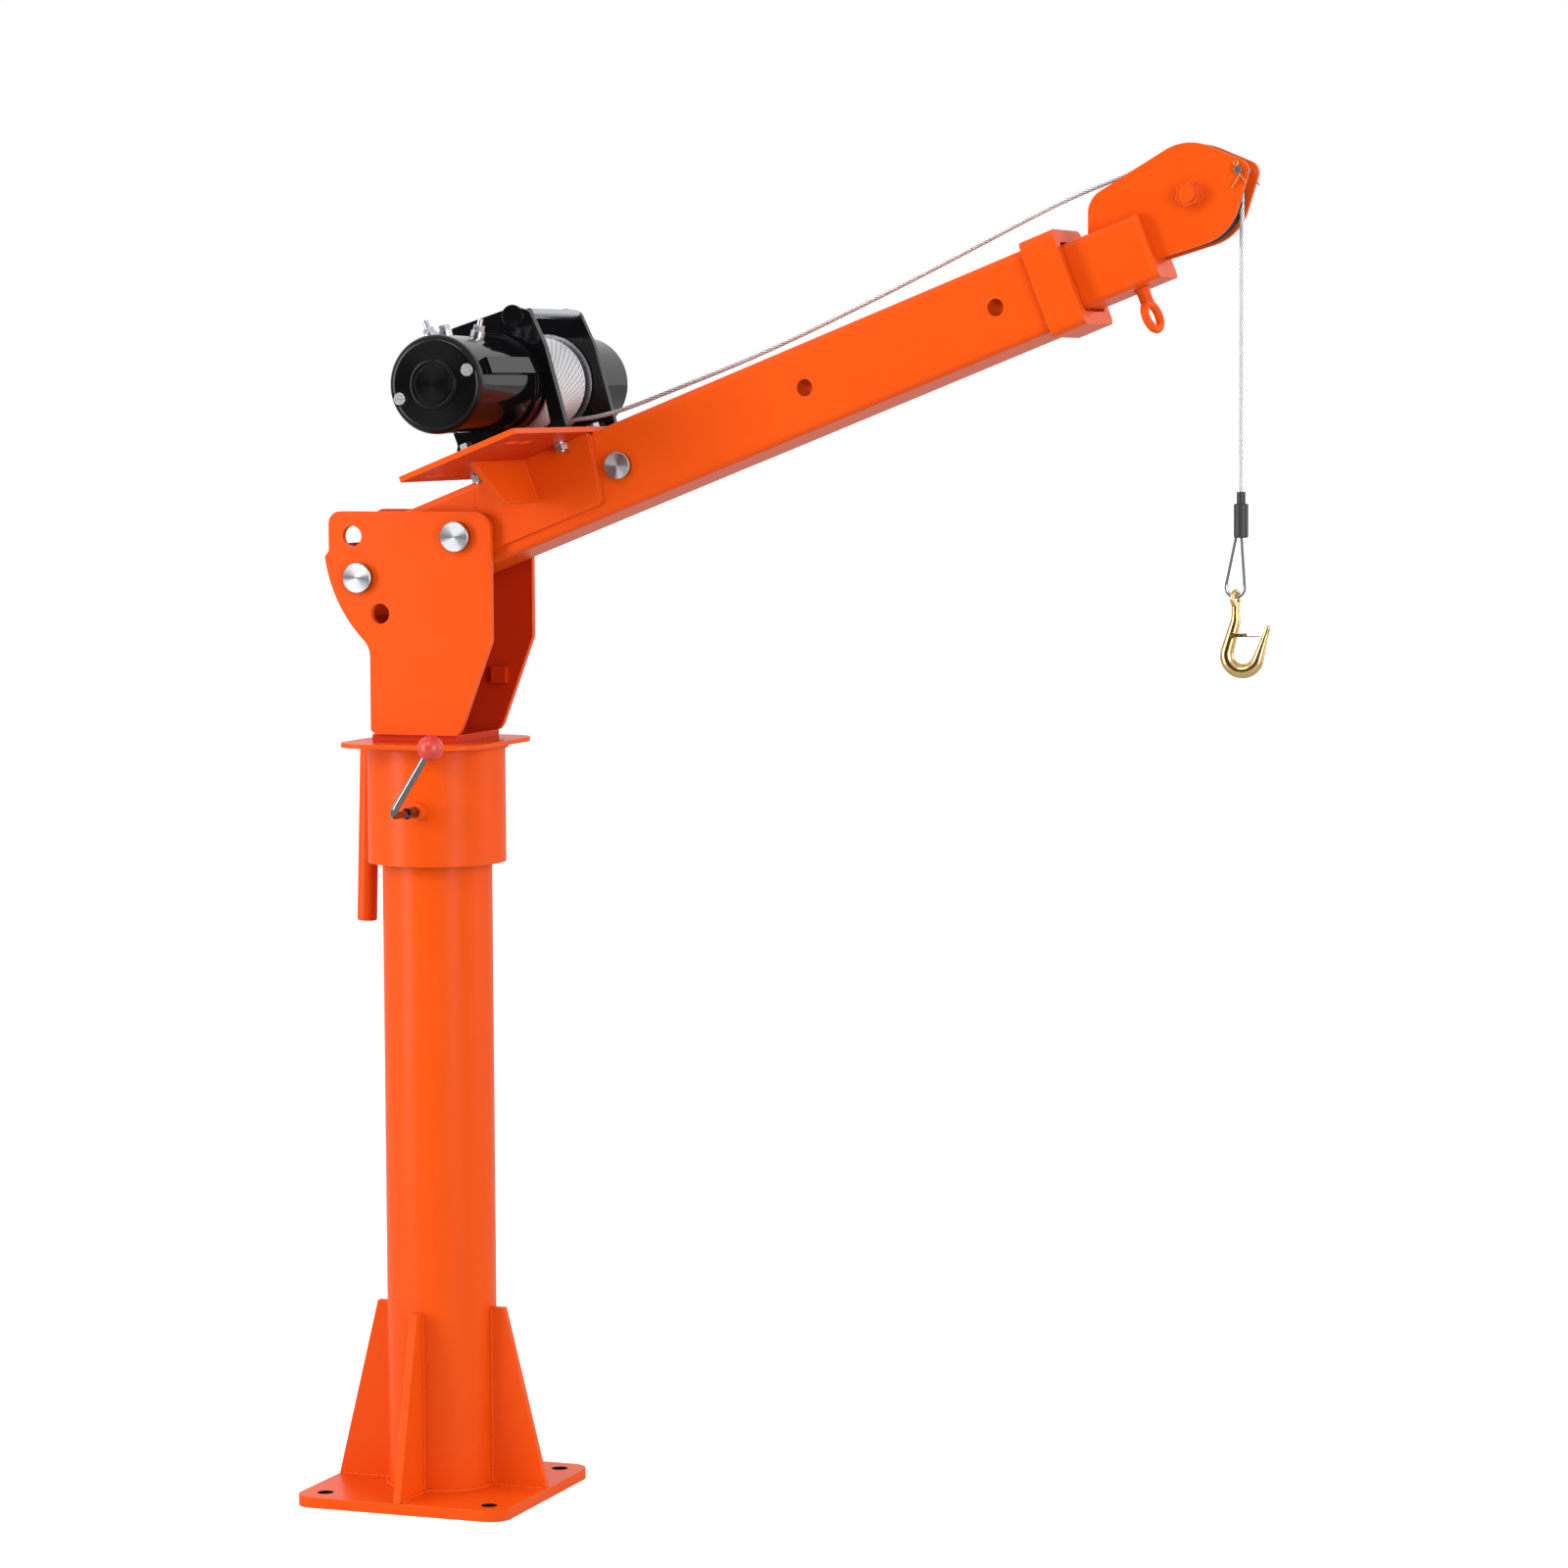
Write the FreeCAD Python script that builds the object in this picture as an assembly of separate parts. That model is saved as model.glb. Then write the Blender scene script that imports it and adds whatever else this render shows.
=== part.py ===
import FreeCAD, Part
import math
import os

# Pickup truck crane: a bolted column, a slewing head, a hinged boom that is pinned at one of three
# angles, a sliding inner boom and an electric winch whose wire rope runs over a head sheave.
# Millimetres, +Z up, +X along the boom, origin at the middle of the base plate's underside.

# Column
BASE_SIDE = 250.0
BASE_THICK = 12.0
BASE_CORNER = 22.0
BOLT_PITCH = 195.0
BOLT_HOLE_R = 9.0
COLUMN_R = 60.0
COLUMN_WALL = 5.0
COLUMN_TOP = 812.0
CAP_THICK = 8.0
GUSSET_THICK = 8.0
GUSSET_TOP = 210.0
GUSSET_REACH = 124.5
GUSSET_TOP_REACH = 76.0
GUSSET_TOE = 2.0

# Slewing head
RUN_GAP = 0.05
PIN_GAP = 0.1
SLEEVE_R = 75.5
SLEEVE_BORE = 68.0
SLEEVE_BOTTOM = 699.5
FLANGE_Z = 828.0
FLANGE_HALF_X = 83.0
FLANGE_HALF_Y = 96.0
FLANGE_CORNER = 37.0
FLANGE_THICK = 5.0
HEAD_BASE_TOP = 841.5
KING_R = 12.0
BUSH_HEIGHT = 25.0
BUSH_LOW_Z = 702.0
BUSH_HIGH_Z = 785.0
CHEEK_IN = 52.5
CHEEK_THICK = 8.0
CHEEK_OUT = CHEEK_IN + CHEEK_THICK

# Sleeve clamp
CLAMP_X = 11.0
CLAMP_Z = 760.0
CLAMP_ELBOW_Y = -143.0
LEVER_LENGTH = 88.0
LEVER_LEAN = 32.4
LEVER_R = 4.0
SCREW_R = 6.0
BALL_R = 14.0

# Boom pivot and angle lock
PIVOT_X = 54.0
PIVOT_Z = 1056.0
PIVOT_R = 11.0
PIN_HEAD_R = 16.5
PIN_HEAD_THICK = 8.0
LOCK_RING_R = 124.0
BOOM_ANGLE = 21.2
CHEEK_ARC_R = 158.5
CHEEK_BACK_X = -50.2
CHEEK_FILLET_R = 25.0
NUB_Z = 1034.0
BACK_THICK = 6.0

# Boom sections, in the boom's own axes: u along it from the pivot, v upwards, both from the pivot
OUTER_SIDE = 90.0
OUTER_WALL = 5.0
OUTER_CORNER = 8.0
BOOM_V = 5.0
OUTER_TAIL_U = -142.0
OUTER_END_U = 728.0
EXT_PIN_U = 198.0
EXT_PIN_R = 9.0
EXT_HEAD_R = 14.5
EXT_PITCH = 225.0
COLLAR_SIDE = 104.0
COLLAR_U = 696.0
COLLAR_END_U = 734.0
INNER_SIDE = 70.0
INNER_WALL = 4.5
INNER_CORNER = 7.0
INNER_END_U = 816.0
END_PLATE_THICK = 4.0

# Boom head
SHEAVE_U = 876.0
SHEAVE_V = 37.0
ROPE_R = 2.5
SHEAVE_PITCH_R = 48.6
SHEAVE_R = 50.8
ENTRY_DEGREES = 91.0
PLATE_IN = 16.5
PLATE_THICK = 6.0
PLATE_ROUND_R = 52.6
AXLE_R = 8.0
KEEPER_U = 933.0
KEEPER_V = 41.0
KEEPER_R = 4.0
NOSE_R = 12.5

# Winch
WINCH_U = 110.0
WINCH_V = 132.0
PLATE_TOP_V = 56.0
PLATE_BOTTOM_V = 50.0
MOTOR_R = 51.0
MOTOR_END_Y = -226.0
# The bolts stand at (u, y): the rear pair in feet outside the frame, the front pair inside it
WINCH_BOLTS = [(57, -85.5), (147, -57), (57, 79.5), (147, 53)]
WINCH_BOLT_R = 4.0
WINCH_HOLE_R = 4.05
DOUBLER_THICK = 4.0
SUPPORT_NEAR_Y = -76.0
SUPPORT_FAR_Y = 62.0
SUPPORT_NEAR_THICK = 10.0
SUPPORT_FAR_THICK = 8.0
GEAR_END_Y = 172.0
WINDING_R = 48.0
WINDING_TURNS = 20
WINDING_PITCH = 5.5
WINDING_END_Y = 52.0
DRUM_FLANGE_R = 54.0
BARREL_R = 30.0

# Hook block: the load line hangs straight down from the sheave's outer side
SLEEVE_TOP_Z = 1105.0
SLEEVE_NECK_Z = 1093.0
SLEEVE_FOOT_Z = 1058.0
EYE_X = 900.0
EYE_Z = 1007.0
EYE_R = 10.0
LOOP_ROPE_R = 1.5
RING_R = 7.2
RING_WIRE_R = 2.4
RING_TURN = 75.0
RING_CENTRE_X = EYE_X + 0.6
RING_CENTRE_Z = EYE_Z - 3.9 - RING_R
BOSS_FOOT_Z = RING_CENTRE_Z - RING_R - 7
LATCH_X = 898.5
LATCH_Z = 958.0
LATCH_HALF = 7.6

os.makedirs("parts", exist_ok=True)

X_AXIS = FreeCAD.Vector(1, 0, 0)
Y_AXIS = FreeCAD.Vector(0, 1, 0)
Z_AXIS = FreeCAD.Vector(0, 0, 1)
BOOM_PLACE = FreeCAD.Placement(
    FreeCAD.Vector(PIVOT_X, 0, PIVOT_Z), FreeCAD.Rotation(Y_AXIS, -BOOM_ANGLE))


def vec(x, y, z):
    return FreeCAD.Vector(x, y, z)


def box(x0, x1, y0, y1, z0, z1):
    return Part.makeBox(x1 - x0, y1 - y0, z1 - z0, vec(x0, y0, z0))


def rod(start, end, radius):
    run = end - start
    return Part.makeCylinder(radius, run.Length, start, run)


def ring(start, end, outer, inner):
    over = (end - start).normalize()
    return rod(start, end, outer).cut(rod(start - over, end + over, inner))


def fused(pieces):
    """One solid from touching or overlapping pieces, with needless edges taken out."""
    shape = pieces[0]
    for piece in pieces[1:]:
        shape = shape.fuse(piece)
    return shape.removeSplitter()


def on_boom(shape):
    """Moves a shape drawn in the boom's axes (u, y, v) to its place on the raised boom."""
    placed = shape.copy()
    placed.Placement = BOOM_PLACE.multiply(shape.Placement)
    return placed


def save(name, shapes):
    shape = shapes
    if isinstance(shapes, list):
        shape = Part.makeCompound(shapes)
    shape.exportStep(f"parts/{name}.step")


def corner_arc(before, corner, after, radius):
    """Fillet of one corner: the arc and its two ends."""
    back = (before - corner).normalize()
    ahead = (after - corner).normalize()
    half = back.getAngle(ahead) / 2
    reach = radius / math.tan(half)
    start = corner + back * reach
    end = corner + ahead * reach
    middle = (back + ahead).normalize()
    centre = corner + middle * (radius / math.sin(half))
    return Part.Arc(start, centre - middle * radius, end).toShape(), start, end


def rounded_edges(points, closed=True):
    """Edges through the points (x, z, fillet radius) in the XZ plane, open or closed."""
    corners = [vec(x, 0, z) for x, z, _ in points]
    count = len(corners)
    rounds = []
    for index, corner in enumerate(corners):
        radius = points[index][2]
        inside = closed or 0 < index < count - 1
        if radius > 0 and inside:
            before = corners[(index - 1) % count]
            after = corners[(index + 1) % count]
            rounds.append(corner_arc(before, corner, after, radius))
        else:
            rounds.append((None, corner, corner))
    edges = []
    for index in range(count):
        arc, _, leave = rounds[index]
        if arc:
            edges.append(arc)
        if closed or index < count - 1:
            arrive = rounds[(index + 1) % count][1]
            edges.append(Part.makeLine(leave, arrive))
    return edges


def plate(edges, y0, y1):
    """A flat plate with the outline drawn in the XZ plane, from y0 to y1."""
    face = Part.Face(Part.Wire(Part.__sortEdges__(edges)))
    face.translate(vec(0, y0, 0))
    return face.extrude(vec(0, y1 - y0, 0))


def square_bar(side, corner, centre_v, u0, u1):
    """A bar of round-cornered square section along u."""
    half = side / 2
    bar = box(u0, u1, -half, half, centre_v - half, centre_v + half)
    long_edges = [e for e in bar.Edges if abs(e.Length - (u1 - u0)) < 0.001]
    return bar.makeFillet(corner, long_edges)


def square_tube(side, wall, corner, centre_v, u0, u1):
    outer = square_bar(side, corner, centre_v, u0, u1)
    return outer.cut(square_bar(side - 2 * wall, corner - wall, centre_v, u0 - 1, u1 + 1))


def hexagon(start, end, across_flats):
    """A nut or bolt head along an axis parallel to Y or Z."""
    radius = across_flats / math.sqrt(3)
    run = end - start
    corners = []
    for index in range(7):
        turn = math.radians(60 * index)
        corners.append(vec(radius * math.cos(turn), radius * math.sin(turn), 0))
    head = Part.Face(Part.makePolygon(corners)).extrude(vec(0, 0, run.Length))
    head.Placement = FreeCAD.Placement(start, FreeCAD.Rotation(Z_AXIS, run))
    return head


def tangent_point(point, centre, radius, side):
    """Where a line from the point touches the circle, both in the XZ plane."""
    run = point - centre
    swing = math.acos(radius / run.Length) * side
    angle = math.atan2(run.z, run.x) + swing
    return centre + vec(math.cos(angle), 0, math.sin(angle)) * radius


def on_circle(centre, radius, degrees):
    turn = math.radians(degrees)
    return centre + vec(math.cos(turn), 0, math.sin(turn)) * radius


def tube_along(edges, radius):
    """A round tube swept along straight runs and tangent arcs."""
    path = Part.Wire(edges)
    first = path.Edges[0]
    start = first.valueAt(first.FirstParameter)
    direction = first.tangentAt(first.FirstParameter)
    section = Part.Wire(Part.makeCircle(radius, start, direction))
    return path.makePipeShell([section], True, False)


def bent_path(points):
    """Straight runs joined by tangent arcs, each as large as its two runs allow."""
    edges = []
    radii = []
    leave = points[0]
    for before, corner, after in zip(points, points[1:], points[2:]):
        back = before - corner
        ahead = after - corner
        half_turn = (math.pi - back.getAngle(ahead)) / 2
        radius = 0.45 * min(back.Length, ahead.Length) / math.tan(half_turn)
        arc, start, end = corner_arc(before, corner, after, radius)
        edges.append(Part.makeLine(leave, start))
        edges.append(arc)
        leave = end
        radii.append(radius)
    edges.append(Part.makeLine(leave, points[-1]))
    return edges, radii


def cord(name, points, radius):
    """A cord's tube along its route, with its radii and its volume against section times length."""
    edges, radii = bent_path(points)
    tube = tube_along(edges, radius)
    length = sum(edge.Length for edge in edges)
    plain = math.pi * radius ** 2 * length
    print(name, "length", round(length, 1), "volume ratio", round(tube.Volume / plain, 5))
    print(name, "radii", [round(value) for value in radii])
    return tube


# Column: plate, gussets, tube, cap and the king bolt that keeps the head down

def base_plate():
    half = BASE_SIDE / 2
    shape = box(-half, half, -half, half, 0, BASE_THICK)
    uprights = [e for e in shape.Edges if abs(e.Length - BASE_THICK) < 0.001]
    shape = shape.makeFillet(BASE_CORNER, uprights)
    place = BOLT_PITCH / 2
    for x in (-place, place):
        for y in (-place, place):
            shape = shape.cut(rod(vec(x, y, -1), vec(x, y, BASE_THICK + 1), BOLT_HOLE_R))
    return shape


def base_gussets():
    outline = [(COLUMN_R - 2, BASE_THICK, 0), (GUSSET_REACH, BASE_THICK, 0),
               (GUSSET_REACH, BASE_THICK + GUSSET_TOE, 0), (GUSSET_TOP_REACH, GUSSET_TOP, 0),
               (COLUMN_R - 2, GUSSET_TOP, 0)]
    half = GUSSET_THICK / 2
    gusset = plate(rounded_edges(outline), -half, half)
    gusset = gusset.cut(rod(vec(0, 0, 0), vec(0, 0, GUSSET_TOP + 1), COLUMN_R))
    around = []
    for turn in (0, 90, 180, 270):
        one = gusset.copy()
        one.rotate(vec(0, 0, 0), Z_AXIS, turn)
        around.append(one)
    return around


def king_bolt():
    head_z = COLUMN_TOP - 8
    washer_z = HEAD_BASE_TOP + PIN_GAP
    nut_z = washer_z + 3
    nut_top = nut_z + 14
    bolt = rod(vec(0, 0, head_z), vec(0, 0, nut_top + 6), KING_R)
    head = hexagon(vec(0, 0, head_z), vec(0, 0, COLUMN_TOP), 36)
    washer = rod(vec(0, 0, washer_z), vec(0, 0, nut_z), 22)
    nut = hexagon(vec(0, 0, nut_z), vec(0, 0, nut_top), 36)
    return fused([bolt, head, washer, nut])


save("base_plate", base_plate())
save("base_gussets", base_gussets())
save("column_tube", ring(vec(0, 0, BASE_THICK), vec(0, 0, COLUMN_TOP), COLUMN_R, COLUMN_R - COLUMN_WALL))
cap_top = COLUMN_TOP + CAP_THICK
save("column_cap", ring(vec(0, 0, COLUMN_TOP), vec(0, 0, cap_top), COLUMN_R, KING_R + PIN_GAP))
save("thrust_washer", ring(vec(0, 0, cap_top), vec(0, 0, FLANGE_Z - RUN_GAP), 55, 22))
save("king_bolt", king_bolt())


# Slewing head: sleeve with two bushes, flange, base block and the two cheeks

def slew_sleeve():
    shape = ring(vec(0, 0, SLEEVE_BOTTOM), vec(0, 0, FLANGE_Z), SLEEVE_R, SLEEVE_BORE)
    hole = rod(vec(CLAMP_X, 0, CLAMP_Z), vec(CLAMP_X, -SLEEVE_R, CLAMP_Z), SCREW_R + PIN_GAP)
    return shape.cut(hole)


def sleeve_bushes():
    return [ring(vec(0, 0, z), vec(0, 0, z + BUSH_HEIGHT), SLEEVE_BORE, COLUMN_R + RUN_GAP)
            for z in (BUSH_LOW_Z, BUSH_HIGH_Z)]


def clamp_boss():
    boss_r = 10.0
    start = vec(CLAMP_X, -50, CLAMP_Z)
    end = vec(CLAMP_X, -84, CLAMP_Z)
    shape = ring(start, end, boss_r, SCREW_R + PIN_GAP)
    return shape.cut(rod(vec(0, 0, SLEEVE_BOTTOM), vec(0, 0, FLANGE_Z), SLEEVE_R))


def back_points():
    """Where the round back, its fillet and the straight back of the cheeks meet."""
    pivot = vec(PIVOT_X, 0, PIVOT_Z)
    fillet_x = CHEEK_BACK_X - CHEEK_FILLET_R
    reach = CHEEK_ARC_R + CHEEK_FILLET_R
    drop = math.sqrt(reach ** 2 - (fillet_x - PIVOT_X) ** 2)
    fillet_centre = vec(fillet_x, 0, PIVOT_Z - drop)
    nub = vec(PIVOT_X - math.sqrt(CHEEK_ARC_R ** 2 - (NUB_Z - PIVOT_Z) ** 2), 0, NUB_Z)
    return pivot, nub, fillet_centre


def back_line(depth):
    """The back of the head seen from the side, a depth inside the cheeks' own edge."""
    pivot, nub, fillet_centre = back_points()
    arc_r = CHEEK_ARC_R - depth
    fillet_r = CHEEK_FILLET_R + depth
    touch = pivot + (fillet_centre - pivot) * (arc_r / (CHEEK_ARC_R + CHEEK_FILLET_R))
    foot = fillet_centre + X_AXIS * fillet_r
    start_turn = math.degrees(math.atan2(nub.z - PIVOT_Z, nub.x - PIVOT_X))
    end_turn = math.degrees(math.atan2(touch.z - PIVOT_Z, touch.x - PIVOT_X))
    top = on_circle(pivot, arc_r, start_turn)
    middle = on_circle(pivot, arc_r, (start_turn + end_turn) / 2)
    fillet_turn = math.degrees(math.atan2(touch.z - fillet_centre.z, touch.x - fillet_centre.x)) / 2
    arcs = [Part.Arc(top, middle, touch).toShape(),
            Part.Arc(touch, on_circle(fillet_centre, fillet_r, fillet_turn), foot).toShape()]
    return arcs, top, foot


def cheek_edges():
    """Cheek outline: a tapering foot, a square upper corner and a round back about the pivot."""
    arcs, nub, foot = back_line(0)
    outline = [(foot.x, foot.z, 0), (CHEEK_BACK_X, 846, 3), (-45, HEAD_BASE_TOP, 0),
               (52, HEAD_BASE_TOP, 3), (57, 849, 0), (93, 944, 12), (93, 1083, 18), (-98, 1083, 14),
               (-98, 1040, 2), (nub.x, nub.z, 0)]
    return rounded_edges(outline, closed=False) + arcs


def cheek(y0, y1):
    """One cheek with the pivot hole and the three lock holes, one boom angle apart."""
    shape = plate(cheek_edges(), y0, y1)
    pivot = vec(PIVOT_X, 0, PIVOT_Z)
    holes = [(pivot, PIVOT_R)]
    for step in range(3):
        holes.append((on_circle(pivot, LOCK_RING_R, 180 + BOOM_ANGLE * step), PIVOT_R + PIN_GAP))
    for place, radius in holes:
        shape = shape.cut(rod(place + Y_AXIS * (y0 - 1), place + Y_AXIS * (y1 + 1), radius))
    return shape


def cheek_web():
    """Bent back plate between the cheeks, with a small stop tab on each cheek."""
    inset = 0.3
    outer, outer_top, outer_foot = back_line(inset)
    inner, inner_top, inner_foot = back_line(inset + BACK_THICK)
    low_outer = vec(outer_foot.x, 0, 850)
    low_inner = vec(inner_foot.x, 0, HEAD_BASE_TOP)
    step = vec(-44.6, 0, HEAD_BASE_TOP)
    edges = outer + inner + [Part.makeLine(outer_top, inner_top), Part.makeLine(outer_foot, low_outer),
                             Part.makeLine(low_outer, step), Part.makeLine(step, low_inner),
                             Part.makeLine(low_inner, inner_foot)]
    web = plate(edges, -CHEEK_IN, CHEEK_IN)
    tabs = [box(46, 64, side * CHEEK_IN - 4 - 4 * side, side * CHEEK_IN + 4 - 4 * side, 893, 911)
            for side in (-1, 1)]
    return [web] + tabs


def push_bar():
    foot = vec(-92, 14, 630)
    top = vec(-86, 14, FLANGE_Z)
    bar_r = 11.0
    shape = rod(foot, top + (top - foot) * 0.05, bar_r)
    above = box(-120, -50, -20, 50, FLANGE_Z, FLANGE_Z + 40)
    shape = shape.cut(above)
    grip_edges = [e for e in shape.Edges if e.BoundBox.ZMax < foot.z + 2]
    return shape.makeFillet(2, grip_edges)


def headed_pin(y_head, y_face, y_end, radius, head_r, place):
    """A round pin along +Y with a turned head, its rim and point broken by small chamfers."""
    head = rod(place + Y_AXIS * y_head, place + Y_AXIS * y_face, head_r)
    rim = [e for e in head.Edges if e.BoundBox.YMax < y_head + 0.1]
    head = head.makeChamfer(0.8, rim)
    shank = rod(place + Y_AXIS * y_face, place + Y_AXIS * y_end, radius)
    tip = [e for e in shank.Edges if e.BoundBox.YMin > y_end - 0.1]
    return fused([head, shank.makeChamfer(1.5, tip)])


def pivot_nut(place):
    washer = ring(place + Y_AXIS * CHEEK_OUT, place + Y_AXIS * (CHEEK_OUT + 3), 17, PIVOT_R)
    nut = hexagon(place + Y_AXIS * (CHEEK_OUT + 3), place + Y_AXIS * (CHEEK_OUT + 13), 32)
    nut = nut.cut(rod(place, place + Y_AXIS * 100, PIVOT_R))
    return fused([washer, nut])


pivot_place = vec(PIVOT_X, 0, PIVOT_Z)
save("slew_sleeve", slew_sleeve())
save("sleeve_bushes", sleeve_bushes())
flange_top = FLANGE_Z + FLANGE_THICK
king_hole = rod(vec(0, 0, FLANGE_Z - 1), vec(0, 0, HEAD_BASE_TOP + 1), KING_R + PIN_GAP)
flange = box(-FLANGE_HALF_X, FLANGE_HALF_X, -FLANGE_HALF_Y, FLANGE_HALF_Y, FLANGE_Z, flange_top)
flange_corners = [e for e in flange.Edges if abs(e.Length - FLANGE_THICK) < 0.001]
save("slew_flange", flange.makeFillet(FLANGE_CORNER, flange_corners).cut(king_hole))
head_base = box(-50, 50, -57, 57, flange_top, HEAD_BASE_TOP)
save("head_base", head_base.cut(king_hole))
save("cheek_near", cheek(-CHEEK_OUT, -CHEEK_IN))
save("cheek_far", cheek(CHEEK_IN, CHEEK_OUT))
save("cheek_web", cheek_web())
pin_head_y = -CHEEK_OUT - PIN_HEAD_THICK
save("pivot_pin", headed_pin(pin_head_y, -CHEEK_OUT, 76, PIVOT_R, PIN_HEAD_R, pivot_place))
save("pivot_nut", pivot_nut(pivot_place))
save("push_bar", push_bar())
save("clamp_boss", clamp_boss())


# Sleeve clamp: pad, screw with its bent lever and the ball on its end

def clamp_pad():
    shape = rod(vec(CLAMP_X, -50, CLAMP_Z), vec(CLAMP_X, -63, CLAMP_Z), 6.5)
    return shape.cut(rod(vec(0, 0, 700), vec(0, 0, 820), COLUMN_R + RUN_GAP))


def lever_direction():
    lean = math.radians(LEVER_LEAN)
    return vec(math.sin(lean), 0, math.cos(lean))


def clamp_screw():
    """Threaded stem and a round bar bent square at the elbow."""
    bend_r = 12.0
    axis = vec(CLAMP_X, 0, CLAMP_Z)
    along = lever_direction()
    elbow = axis + Y_AXIS * CLAMP_ELBOW_Y
    stem_end = -104.0
    arc, start, end = corner_arc(axis, elbow, elbow + along * LEVER_LENGTH, bend_r)
    far = elbow + along * (LEVER_LENGTH - BALL_R * 0.6)
    bar = tube_along([Part.makeLine(axis + Y_AXIS * (stem_end + 4), start), arc,
                      Part.makeLine(end, far)], LEVER_R)
    stem = rod(axis + Y_AXIS * (-63 - RUN_GAP), axis + Y_AXIS * stem_end, SCREW_R)
    return fused([stem, bar])


def clamp_ball():
    centre = vec(CLAMP_X, CLAMP_ELBOW_Y, CLAMP_Z) + lever_direction() * LEVER_LENGTH
    socket_end = centre - lever_direction() * (BALL_R * 0.6)
    ball = Part.makeSphere(BALL_R, centre)
    ball = ball.cut(rod(socket_end, centre - lever_direction() * 30, LEVER_R))
    return ball


save("clamp_pad", clamp_pad())
save("clamp_screw", clamp_screw())
save("clamp_ball", clamp_ball())


# Outer boom, drawn level in its own axes: x is u, z is v

def side_hole(u, radius):
    return rod(vec(u, -100, BOOM_V), vec(u, 100, BOOM_V), radius)


def boom_outer():
    shape = square_tube(OUTER_SIDE, OUTER_WALL, OUTER_CORNER, BOOM_V, OUTER_TAIL_U, OUTER_END_U)
    shape = shape.cut(rod(vec(-LOCK_RING_R, -60, 0), vec(-LOCK_RING_R, 60, 0), PIVOT_R + 0.2))
    shape = shape.cut(rod(vec(0, -60, 0), vec(0, 60, 0), 16))
    # The top of the tail is cut back to an arc, so that the tail swings down past the lock pin
    tail_cut = box(OUTER_TAIL_U - 1, 0, -50, 50, 0, 60).cut(rod(vec(0, -60, 0), vec(0, 60, 0), 112))
    shape = shape.cut(tail_cut)
    for step in range(3):
        shape = shape.cut(side_hole(EXT_PIN_U + EXT_PITCH * step, EXT_PIN_R + PIN_GAP))
    return shape


def boom_collar():
    outer = square_bar(COLLAR_SIDE, 10, BOOM_V, COLLAR_U, COLLAR_END_U)
    lip_bore = square_bar(76, 7, BOOM_V, COLLAR_U - 1, COLLAR_END_U + 1)
    seat = square_bar(OUTER_SIDE, OUTER_CORNER, BOOM_V, COLLAR_U - 1, OUTER_END_U)
    return outer.cut(seat).cut(lip_bore)


def four_pads(u0, u1, inner, outer, width):
    """Four wear pads round a square tube, on the faces of a square centred on the boom's line."""
    first = box(u0, u1, -width / 2, width / 2, inner, outer)
    pads = []
    for turn in (0, 90, 180, 270):
        pad = first.copy()
        pad.rotate(vec(0, 0, 0), X_AXIS, turn)
        pad.translate(vec(0, 0, BOOM_V))
        pads.append(pad)
    return pads


def pivot_sleeve():
    shell = rod(vec(0, -CHEEK_IN + PIN_GAP, 0), vec(0, CHEEK_IN - PIN_GAP, 0), 16)
    shapes = [shell]
    half = OUTER_SIDE / 2
    for side in (-1, 1):
        shapes.append(rod(vec(0, side * half, 0), vec(0, side * (CHEEK_IN - PIN_GAP), 0), 24))
    return fused(shapes).cut(rod(vec(0, -60, 0), vec(0, 60, 0), PIVOT_R + RUN_GAP))


save("boom_outer", on_boom(boom_outer()))
save("boom_collar", on_boom(boom_collar()))
save("boom_pads", [on_boom(pad) for pad in four_pads(684, 724, 35.05, 40, 50)])
save("pivot_sleeve", on_boom(pivot_sleeve()))


# Lock pins

lock_place = on_circle(pivot_place, LOCK_RING_R, 180 + BOOM_ANGLE)
lock_face = -CHEEK_OUT - PIN_GAP
save("angle_pin", headed_pin(lock_face - PIN_HEAD_THICK, lock_face, 66, PIVOT_R, PIN_HEAD_R, lock_place))
ext_face = -OUTER_SIDE / 2 - PIN_GAP
ext_pin = headed_pin(ext_face - PIN_HEAD_THICK, ext_face, 50, EXT_PIN_R, EXT_HEAD_R,
                     vec(EXT_PIN_U, 0, BOOM_V))
save("extension_pin", on_boom(ext_pin))


# Inner boom

def boom_inner():
    shape = square_tube(INNER_SIDE, INNER_WALL, INNER_CORNER, BOOM_V, EXT_PIN_U, INNER_END_U)
    return shape.cut(side_hole(EXT_PIN_U, EXT_PIN_R + 0.2))


def lifting_eye():
    u = 789.0
    low = BOOM_V - INNER_SIDE / 2
    ring_r = 14.0
    wire_r = 4.5
    centre = vec(u, 0, -60.5)
    shank = rod(vec(u, 0, low), vec(u, 0, centre.z + ring_r), 7)
    flare = Part.makeCone(7, 9, 4, vec(u, 0, low - 4), Z_AXIS)
    loop = Part.makeTorus(ring_r, wire_r, centre, X_AXIS)
    loop.rotate(centre, Z_AXIS, 17)
    return fused([loop, shank, flare])


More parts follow.
